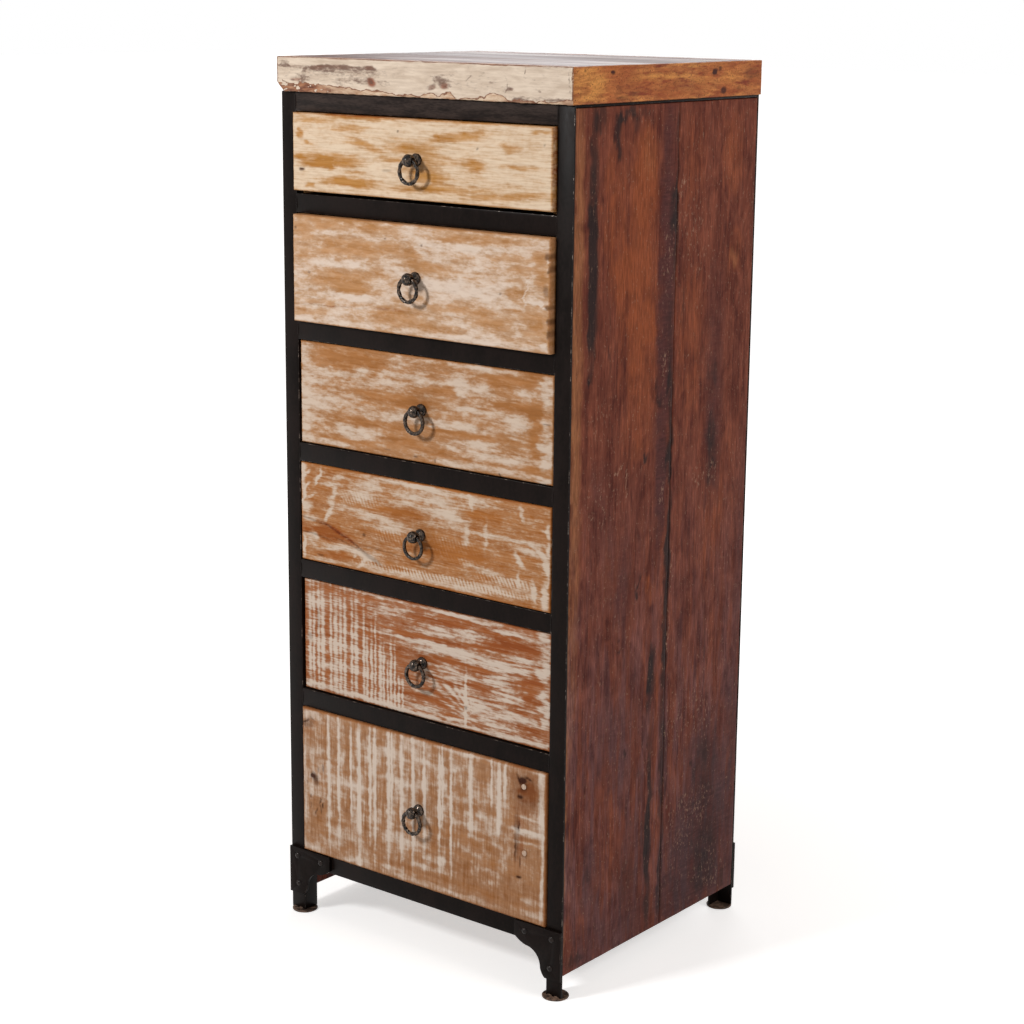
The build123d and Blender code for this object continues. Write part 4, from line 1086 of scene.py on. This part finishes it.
# %% Top boards
low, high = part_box("top_boards")
count, gap = 4, 0.3 * mm
step = (high.y - low.y) / count
for number in range(count):
    start = Vector((low.x, low.y + step * number, low.z))
    end = Vector((high.x, low.y + step * (number + 1) - gap, high.z))
    piece = board(f"top_board_{number + 1}", start, end, "up", cell=(8.0, 4.0), edge=0.9 * mm)
    even = np.ones(len(piece.data.vertices))
    paint(piece, warm=0.2 * (number % 2) * even, rose=0.4 * (number % 3) * even, dark=0 * even)
    uneven(piece, size=120, depth=0.35)
    settle(piece, "chest", "top_wood", [top_wood], "top_boards")
print("top boards", count)

# %% [markdown]
# ## Back boards
# Three rough boards stand behind the bars at the back. They came from different planks, so each has its own
# tone, and gaps of half a millimetre and rounded edges part them.

# %% Back boards
low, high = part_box("back_boards")
gap = 0.5 * mm
keys = ("warm", "rose", "dark")
tones = ((0.45, 0.0, 0.1), (0.0, 0.3, 0.35), (0.25, 0.5, 0.0))  # how strong each mask is on a board
step = (high.x - low.x + gap) / len(tones)
for number, tone in enumerate(tones):
    start = Vector((low.x + step * number, low.y, low.z))
    end = Vector((low.x + step * (number + 1) - gap, high.y, high.z))
    piece = board(f"back_board_{number + 1}", start, end, "back", cell=(4.0, 9.0), edge=1.4 * mm)
    x, y, z = points_of(piece)
    cloud = ragged(x, z, (40, 220), 60 + number)
    paint(piece, **{key: np.clip(amount * (1 + cloud), 0, 1) for key, amount in zip(keys, tone)})
    uneven(piece, size=70, depth=0.4)
    settle(piece, "chest", "board_wood", [back_wood], "back_boards")
print("back boards", len(tones))

# %% [markdown]
# ## Steel finishes
# The angle iron is brushed with satin black paint. The paint has worn through along the edges, so the
# bevels have a finish of their own in which bare steel shows; its pale grey is also painted highlight
# where the edges catch light. The foot plates have rusted, and the pulls are cast iron with a dark
# patina. A node that finds edges by itself could place the wear, but here it has to lie on real faces.

# %% Steel finishes
def coated_steel(name, tones, rough, lengths, spread, shine, shift, metal=(0.0, 0.0), middle=0.75):
    """Steel or iron whose coat changes in patches between two tones; a higher middle makes the second rarer."""
    made, tree, shader = new_finish(name)
    patch = drawn_out(tree, lengths, detail=4.0, shift=shift)
    # grit at least 1.4 mm across, coarser than real, so that it shows
    grit = drawn_out(tree, [max(length / 8, 1.4) for length in lengths], detail=2.0, shift=shift + 3)
    both = put(tree, "Math", {0: grit, 1: 0.5, 2: patch}, operation="MULTIPLY_ADD")
    level = put(tree, "MapRange", {"Value": both, "From Min": middle - spread, "From Max": middle + spread},
                interpolation_type="SMOOTHSTEP")
    mixed = put(tree, "Mix", {"Factor": level, UNDER: tones[0], OVER: tones[1]}, data_type="RGBA")
    gloss = put(tree, "MapRange", {"Value": level, "To Min": rough[0], "To Max": rough[1]})
    bright = metal[0]
    if metal[0] != metal[1]:
        bright = put(tree, "MapRange", {"Value": level, "To Min": metal[0], "To Max": metal[1]})
    bump = put(tree, "Bump", {"Height": grit, "Distance": 0.2 * mm, "Strength": 0.35})
    wire(tree, shader, {"Base Color": mixed, "Roughness": gloss, "Metallic": bright, "Normal": bump,
                        "Specular IOR Level": shine})
    return made


# nearly black and even, with a soft sheen
black_paint = coated_steel("satin_black_paint", ("#120D0B", "#1B1412"), rough=(0.28, 0.42),
                           lengths=(30, 30, 60), spread=0.2, shine=0.05, shift=1.0)
# the same paint with long greyer streaks, which are painted sheen
sheen_streaked_paint = coated_steel("black_paint_with_painted_sheen", ("#1C1513", "#3A302C"), rough=(0.34, 0.46),
                            lengths=(60, 12, 9), spread=0.22, shine=0.08, shift=3.0)
# broken lines of bare grey steel along the bevels, which are also painted highlights where the edges catch
# light
worn_edge_and_glints = coated_steel("black_paint_worn_to_steel_and_painted_glints", ("#15100E", "#6A5F58"), rough=(0.42, 0.3),
                         lengths=(9, 9, 14), spread=0.07, shine=0.1, shift=5.0, metal=(0.0, 0.6), middle=0.86)
# small glints on domed heads
rivet_paint = coated_steel("glossy_black_rivets", ("#0E0A09", "#2C231F"), rough=(0.2, 0.3), lengths=(4, 4, 4),
                           spread=0.16, shine=0.16, shift=7.0, metal=(0.0, 0.2))
# mottled, dull grey-brown
rust = coated_steel("rusted_foot_plate", ("#2A1F1A", "#71594A"), rough=(0.5, 0.8), lengths=(6, 6, 6),
                    spread=0.16, shine=0.3, shift=9.0, metal=(0.3, 0.0))
# black iron with warm, rubbed highlights
iron = coated_steel("patinated_cast_iron", ("#0A0605", "#64564B"), rough=(0.24, 0.18), lengths=(4, 4, 4),
                    spread=0.14, shine=0.2, shift=13.0, metal=(0.0, 0.8), middle=0.79)
# plain grey metal
zinc = coated_steel("dull_zinc_screws", ("#7E7C78", "#A3A19C"), rough=(0.35, 0.5), lengths=(4, 4, 4),
                    spread=0.3, shine=0.5, shift=17.0, metal=(1.0, 1.0))
print("steel", [made.name for made in (black_paint, sheen_streaked_paint, worn_edge_and_glints, rivet_paint, rust, iron, zinc)])

# %% [markdown]
# ## Posts and rails: one bar of steel angle
# Steel angle is one section, so one bar is modelled: a flat cube is cut along its length with bisect, one
# half is extruded up to make the second leg, and all sharp edges are bevelled into the worn finish with
# its painted edge highlights.

# %% Angle bar
leg, wall = 25 * mm, 3 * mm


def choose(kind, test):
    """In edit mode, select only the faces or edges that pass the test."""
    bpy.ops.mesh.select_mode(type=kind)
    bpy.ops.mesh.select_all(action="DESELECT")
    sketch = bmesh.from_edit_mesh(bpy.context.edit_object.data)
    for part in {"FACE": sketch.faces, "EDGE": sketch.edges}[kind]:
        if test(part):
            part.select_set(True)
    bmesh.update_edit_mesh(bpy.context.edit_object.data)


def angle_bar(name, length, place, axes, coat):
    """A bar of steel angle; the axes are where its two legs and its length point."""
    bpy.ops.object.select_all(action="DESELECT")
    bpy.ops.mesh.primitive_cube_add(size=1)
    piece = added(name)
    piece.data.materials.append(coat)
    piece.data.materials.append(worn_edge_and_glints)
    bpy.ops.object.mode_set(mode="EDIT")
    bpy.ops.transform.resize(value=(leg, wall, length))
    bpy.ops.transform.translate(value=(leg / 2, wall / 2, 0))
    bpy.ops.mesh.bisect(plane_co=(wall, 0, 0), plane_no=(1, 0, 0))
    choose("FACE", lambda face: face.calc_center_median().x < wall and face.normal.y > 0.5)
    bpy.ops.mesh.extrude_region_move(TRANSFORM_OT_translate={"value": (0, leg - wall, 0)})
    choose("EDGE", lambda edge: edge.calc_face_angle(0) > 0.5)
    # the bevels take the worn steel finish, whose pale grey is partly painted highlight
    bpy.ops.mesh.bevel(offset=0.7 * mm, segments=2, affect="EDGES", material=1)
    bpy.ops.object.mode_set(mode="OBJECT")
    piece.matrix_world = Matrix.Translation(place) @ Matrix(axes).transposed().to_4x4()
    bpy.ops.object.transform_apply()
    return piece


print("angle of", round(leg / mm), "mm, wall", round(wall / mm), "mm")

# %% [markdown]
# Each post and rail is that bar at its own length, turned into its corner. The posts stand with their heel
# outwards. A rail's legs point down the front and back under the drawer.

# %% Posts and rails
x_way, y_way, z_way = Vector((1, 0, 0)), Vector((0, 1, 0)), Vector((0, 0, 1))
corners = {
    "front_right": (x_way, y_way), "front_left": (y_way, -x_way),
    "back_left": (-x_way, -y_way), "back_right": (-y_way, x_way),
}
for name, (one, two) in corners.items():
    low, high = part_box(f"{name}_post")
    heel_x = low.x if "right" in name else high.x
    heel_y = low.y if "front" in name else high.y
    heel = Vector((heel_x, heel_y, (low.z + high.z) / 2))
    piece = angle_bar(f"{name}_angle_post", high.z - low.z, heel, (one, two, z_way), black_paint)
    settle(piece, "chest", "frame_steel", [], f"{name}_post")

low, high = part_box("top_cross_rails")
rails = [  # name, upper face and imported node
    ("top_front_rail", high.z, "top_cross_rails"),
    ("bottom_rail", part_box("front_bottom_rail")[1].z, "front_bottom_rail"),
]
for number in range(1, 6):
    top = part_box(f"drawer_{number}_sides")[0].z - 0.3 * mm
    rails.append((f"drawer_rail_{number}", top, "front_drawer_rails"))
for name, top, node in rails:
    # the top rail gets the paint with painted sheen
    coat = sheen_streaked_paint if name == "top_front_rail" else black_paint
    piece = angle_bar(name, high.x - low.x, Vector((0, front, top)), (-z_way, y_way, x_way), coat)
    settle(piece, "chest", "frame_steel", [], node)
heel = Vector((0, high.y, high.z))
piece = angle_bar("top_back_rail", high.x - low.x, heel, (-y_way, -z_way, x_way), black_paint)
settle(piece, "chest", "frame_steel", [], "top_cross_rails")
print("angle bars", len(corners) + len(rails) + 1)

# %% [markdown]
# ## Brackets, bars and other plain pieces
# The cut brackets have an outline that is already right, so a copy of each imported piece is merged, cleaned
# of flat triangles and bevelled. That keeps the shape and gives its edges the worn finish with its painted
# highlights.

# %% Softened copies
def softened(name, node, edge, finishes):
    """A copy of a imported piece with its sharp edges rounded."""
    piece = bpy.data.objects.new(name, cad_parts[node].data.copy())
    bpy.context.scene.collection.objects.link(piece)
    pick(piece)
    piece.data.materials.clear()
    for made in finishes:
        piece.data.materials.append(made)
    bpy.ops.object.mode_set(mode="EDIT")
    bpy.ops.mesh.select_all(action="SELECT")
    bpy.ops.mesh.remove_doubles(threshold=0.01 * mm)
    bpy.ops.mesh.dissolve_limited(angle_limit=math.radians(0.5))
    bpy.ops.object.mode_set(mode="OBJECT")
    rounding = piece.modifiers.new("rounding", "BEVEL")
    rounding.width, rounding.segments, rounding.angle_limit = edge * mm, 2, math.radians(35)
    rounding.material = len(finishes) - 1
    bpy.ops.object.modifier_apply(modifier=rounding.name)
    settle(piece, "chest", "frame_steel", finishes, node)


# black paint, and worn steel with painted highlights for the rounded edges
worn = [black_paint, worn_edge_and_glints]
copies = [  # name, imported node, rounding in mm and finishes, of which the last is for the rounded edges
    ("cut_corner_brackets", "foot_brackets", 0.6, worn),
    ("domed_bracket_rivets", "bracket_rivets", 0.9, [rivet_paint]),
    ("top_side_angles", "top_side_rails", 0.5, worn),
    ("back_flat_bars", "back_cross_bars", 0.5, worn),
    ("drawer_runner_angles", "drawer_runners", 0.5, worn),
]
for name, node, edge, finishes in copies:
    softened(name, node, edge, finishes)
print("softened copies", len(copies))

# %% [markdown]
# ## Pulls
# A pull is one iron casting: a domed rose, a short neck and a ball with a hole for the ring. It is turned
# on its axis like the pattern it was cast from, so a circle is extruded and resized ring by ring. The Spin
# tool could turn a drawn profile too, but the steps below can be read off like a turner's list.

# %% Turning and copying
def turned(name, steps, sides):
    """Turn steps of (radius, reach) in mm about Z, and close both ends."""
    bpy.ops.object.select_all(action="DESELECT")
    bpy.ops.mesh.primitive_circle_add(vertices=sides, radius=steps[0][0] * mm, fill_type="NGON")
    piece = added(name)
    bpy.ops.object.mode_set(mode="EDIT")
    bpy.ops.mesh.select_mode(type="FACE")
    bpy.ops.mesh.select_all(action="SELECT")
    bpy.ops.transform.translate(value=(0, 0, steps[0][1] * mm))
    for (radius, reach), (before, behind) in zip(steps[1:], steps):
        bpy.ops.mesh.extrude_region_move(TRANSFORM_OT_translate={"value": (0, 0, (reach - behind) * mm)})
        growth = (radius / before, radius / before, 1)
        bpy.ops.transform.resize(value=growth, center_override=(0, 0, reach * mm))
    bpy.ops.mesh.select_all(action="SELECT")
    bpy.ops.mesh.normals_make_consistent(inside=False)
    bpy.ops.object.mode_set(mode="OBJECT")
    return piece


def facing_front(piece):
    """Turn a piece that was made about Z to point out of the front."""
    piece.rotation_euler = (math.radians(90), 0, 0)
    pick(piece)
    bpy.ops.object.transform_apply()


def apply_all(piece):
    """Apply every modifier of a piece in turn."""
    bpy.context.view_layer.objects.active = piece
    for step in list(piece.modifiers):
        bpy.ops.object.modifier_apply(modifier=step.name)


def copied(piece, name, move):
    """A copy with its own mesh, moved in its mesh."""
    twin = bpy.data.objects.new(name, piece.data.copy())
    twin.data.name = name
    twin.data.transform(Matrix.Translation(move))
    bpy.context.scene.collection.objects.link(twin)
    return twin


# rose, neck and the stud behind them, as (radius, reach)
profile = [(2.4, -27), (2.4, 0.02), (8.3, 0), (8.6, 0.8), (8.5, 2.0), (8.1, 3.2), (7.2, 4.4), (5.9, 5.4),
           (4.7, 6.0), (4.0, 6.8), (3.9, 7.6)]
print("profile", len(profile), "steps")

# %% [markdown]
# The ball follows the neck as more steps, along a circle. A Boolean cuts the hole, a bevel rounds its lips,
# and a little displacement takes the machine finish off. One pull is modelled, and copied later.

# %% Pull
ball_reach, ball_radius, bore = 15.5, 8.25, 3.95
for step in range(1, 15):
    angle = math.radians(30 + step * 10.6)
    profile.append((ball_radius * math.sin(angle), ball_reach - ball_radius * math.cos(angle)))
pull = turned("pull_pattern", profile, 32)
bpy.ops.mesh.primitive_cylinder_add(vertices=24, radius=bore * mm, depth=24 * mm,
                                    location=(0, 0, ball_reach * mm), rotation=(0, math.radians(90), 0))
drill = bpy.context.object
hole = pull.modifiers.new("hole", "BOOLEAN")
hole.operation, hole.object, hole.solver = "DIFFERENCE", drill, "EXACT"
lip = pull.modifiers.new("lip", "BEVEL")
lip.width, lip.segments, lip.angle_limit = 0.5 * mm, 2, math.radians(42)
apply_all(pull)
bpy.data.objects.remove(drill)
uneven(pull, size=4, depth=0.6)
facing_front(pull)
print("pull", len(pull.data.vertices), "points")

# %% [markdown]
# ## Rings
# Each ring was forged from a short bar of square iron, some of them twisted along the part that hangs
# lowest, and bent round. It is made here the same way: a cube is drawn out, subdivided along its length and
# bevelled, then a Simple Deform twists it and a second one bends it into a full circle, and the ends are
# merged. A torus would be round in section and could not show the twist.

# %% Forged ring
ring_radius, bar = 15.0, 4.2


def forged_ring(name, corner, twist, spread):
    """A bar of square iron, twisted over its middle part and bent to a ring in the XZ plane."""
    length = 2 * math.pi * ring_radius * mm
    bpy.ops.object.select_all(action="DESELECT")
    bpy.ops.mesh.primitive_cube_add(size=1)
    piece = added(name)
    bpy.ops.object.mode_set(mode="EDIT")
    bpy.ops.transform.resize(value=(length, bar * mm, bar * mm))
    choose("FACE", lambda face: abs(face.normal.x) > 0.5)
    bpy.ops.mesh.delete(type="ONLY_FACE")
    choose("EDGE", lambda edge: abs((edge.verts[1].co - edge.verts[0].co).x) > 0.01)
    bpy.ops.mesh.bevel(offset=corner * mm, segments=3, affect="EDGES")
    choose("EDGE", lambda edge: abs((edge.verts[1].co - edge.verts[0].co).x) > 0.01)
    bpy.ops.mesh.subdivide(number_cuts=119)
    bpy.ops.object.mode_set(mode="OBJECT")
    if twist:
        wring = piece.modifiers.new("twist", "SIMPLE_DEFORM")
        wring.deform_method, wring.deform_axis, wring.limits = "TWIST", "X", spread
        wring.angle = math.radians(twist)
    curl = piece.modifiers.new("curl", "SIMPLE_DEFORM")
    curl.deform_method, curl.deform_axis, curl.angle = "BEND", "Z", math.radians(360)
    apply_all(piece)
    bpy.ops.object.mode_set(mode="EDIT")
    bpy.ops.mesh.select_all(action="SELECT")
    bpy.ops.mesh.remove_doubles(threshold=0.3 * mm)
    bpy.ops.mesh.normals_make_consistent(inside=False)
    bpy.ops.object.mode_set(mode="OBJECT")
    facing_front(piece)
    return piece


print("ring of", ring_radius, "mm from a bar of", bar, "mm")

# %% [markdown]
# Now each drawer gets its pull, its ring and a nut behind the board. The smith twisted no two rings alike:
# one is plain, and the others differ in the turns and in how far along the bar they reach.

# %% Pulls and rings in place
twists = {  # rounding of the corners in mm, twist in degrees and the part of the bar that is twisted
    1: (0.7, 540, (0.15, 0.85)), 2: (0.7, 540, (0.2, 0.8)), 3: (0.5, 1440, (0.25, 0.75)),
    4: (1.5, 0, (0, 1)), 5: (0.5, 1080, (0.3, 0.8)), 6: (0.6, 720, (0.2, 0.7)),
}
for number, (corner, twist, spread) in twists.items():
    body = f"drawer_{number}"
    low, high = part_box(f"{body}_ring")
    middle = (low + high) / 2
    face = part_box(f"{body}_front")[0].y
    pull_low, pull_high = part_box(f"{body}_pull")
    seat = Vector((0, face, (pull_low.z + pull_high.z) / 2))
    settle(copied(pull, f"ring_pull_{number}", seat), body, "pull_iron", [iron], f"{body}_pull")
    piece = forged_ring(f"forged_ring_{number}", corner, twist, spread)
    piece.location = (0, middle.y, middle.z - ring_radius * mm)
    bpy.ops.object.transform_apply()
    uneven(piece, size=6, depth=0.3)
    settle(piece, f"ring_{number}", "pull_iron", [iron], f"{body}_ring")
    bpy.ops.object.select_all(action="DESELECT")
    bpy.ops.mesh.primitive_cylinder_add(vertices=6, radius=5.2 * mm, depth=4 * mm,
                                        location=(0, face + 22 * mm, seat.z), rotation=(math.radians(90), 0, 0))
    nut = added(f"pull_nut_{number}")
    bpy.ops.object.mode_set(mode="EDIT")
    bpy.ops.mesh.bevel(offset=0.5 * mm, segments=2, affect="EDGES")
    bpy.ops.object.mode_set(mode="OBJECT")
    bpy.ops.object.transform_apply()
    settle(nut, body, "pull_iron", [zinc])
bpy.data.objects.remove(pull)
print("pulls and rings", len(twists))

# %% [markdown]
# ## Nails
# Two old nails are still in the lowest front, hammered flat and painted over with the board. They are turned
# like the pulls, because a head stands proud of the wood and catches light, which a painted spot could not.

# %% Nails
nail = turned("nail_pattern", [(1.6, -6), (1.6, -0.4), (3.4, -0.3), (3.8, 0.3), (3.3, 0.8), (1.6, 1.1)], 20)
uneven(nail, size=3, depth=0.5)
facing_front(nail)
places = ((179, 283), (181, 192))
for number, (x, z) in enumerate(places, 1):
    head = copied(nail, f"painted_nail_{number}", (x * mm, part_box("drawer_6_front")[0].y, z * mm))
    paint(head, wash=np.full(len(head.data.vertices), 0.75))
    settle(head, "drawer_6", "front_wood_6", [front_finishes[5]])
bpy.data.objects.remove(nail)
print("nails", len(places))

# %% [markdown]
# ## Foot plates
# The foot plates were punched from sheet and welded under the posts. A plate is turned like a pull, with a
# rounded rim, and copied under each post.

# %% Foot plates
plate = turned("foot_pattern", [(16.6, 0), (17.7, 0.5), (18.0, 1.4), (17.8, 2.3), (17.0, 3.0), (6.0, 3.2)], 48)
uneven(plate, size=7, depth=0.5)
low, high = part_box("foot_discs")
reach = 18 * mm
for x, side in ((low.x + reach, "left"), (high.x - reach, "right")):
    for y, end in ((low.y + reach, "front"), (high.y - reach, "back")):
        foot = copied(plate, f"{end}_{side}_foot_plate", (x, y, 0))
        settle(foot, "chest", "foot_steel", [rust], "foot_discs")
bpy.data.objects.remove(plate)
print("foot plates", 4)

# %% [markdown]
# ## Welds
# The rails were welded to the posts and ground nearly flush, and the plates were tacked to the posts. A weld
# is a sphere, stretched and pushed uneven. A cut and bevelled bead would look more regular than hand work.

# %% Welds
def weld(name, place, size, finish):
    """A lump of weld of these half sizes in mm."""
    bpy.ops.object.select_all(action="DESELECT")
    bpy.ops.mesh.primitive_uv_sphere_add(segments=20, ring_count=12, radius=1, location=place)
    piece = added(name)
    bpy.ops.object.mode_set(mode="EDIT")
    bpy.ops.transform.resize(value=[half * mm for half in size])
    bpy.ops.object.mode_set(mode="OBJECT")
    bpy.ops.object.transform_apply()
    uneven(piece, size=3, depth=0.7)
    settle(piece, "chest", "frame_steel", [finish])


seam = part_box("top_cross_rails")[1].x
for name, top, node in rails:
    if node != "front_bottom_rail":
        for side, x in (("left", -seam), ("right", seam)):
            weld(f"{name}_{side}_weld", (x, front + 0.3 * mm, top - leg / 2), (1.5, 0.8, 11.0), black_paint)
posts = {name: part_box(f"{name}_post") for name in corners}
for name, (low, high) in posts.items():
    outer = low.y if "front" in name else high.y
    for number, share in enumerate((0.25, 0.7), 1):
        weld(f"{name}_foot_weld_{number}", (low.x + share * leg, outer, 3.6 * mm), (4.0, 1.8, 1.6), rust)
print("welds", 2 * (len(rails) - 1) + 2 * len(posts))

# %% [markdown]
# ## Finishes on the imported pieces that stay
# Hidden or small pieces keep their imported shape, which is right as it is, and only get a finish.

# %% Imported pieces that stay
kept = {"frame_screws": zinc, "top_battens": back_wood}
for number in range(1, 7):
    kept.update({f"drawer_{number}_{part}": box_wood for part in ("sides", "back", "bottom")})
for node, finish in kept.items():
    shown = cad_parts[node]
    shown.data.materials.clear()
    shown.data.materials.append(finish)
print("packed pieces with a finish", len(kept))

# %% [markdown]
# ## Sizes
# The dressed chest has to stay as large as the imported one, so its size is printed.

# %% Sizes
low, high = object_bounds()
print("dressed in metres", [round(v, 4) for v in high - low])
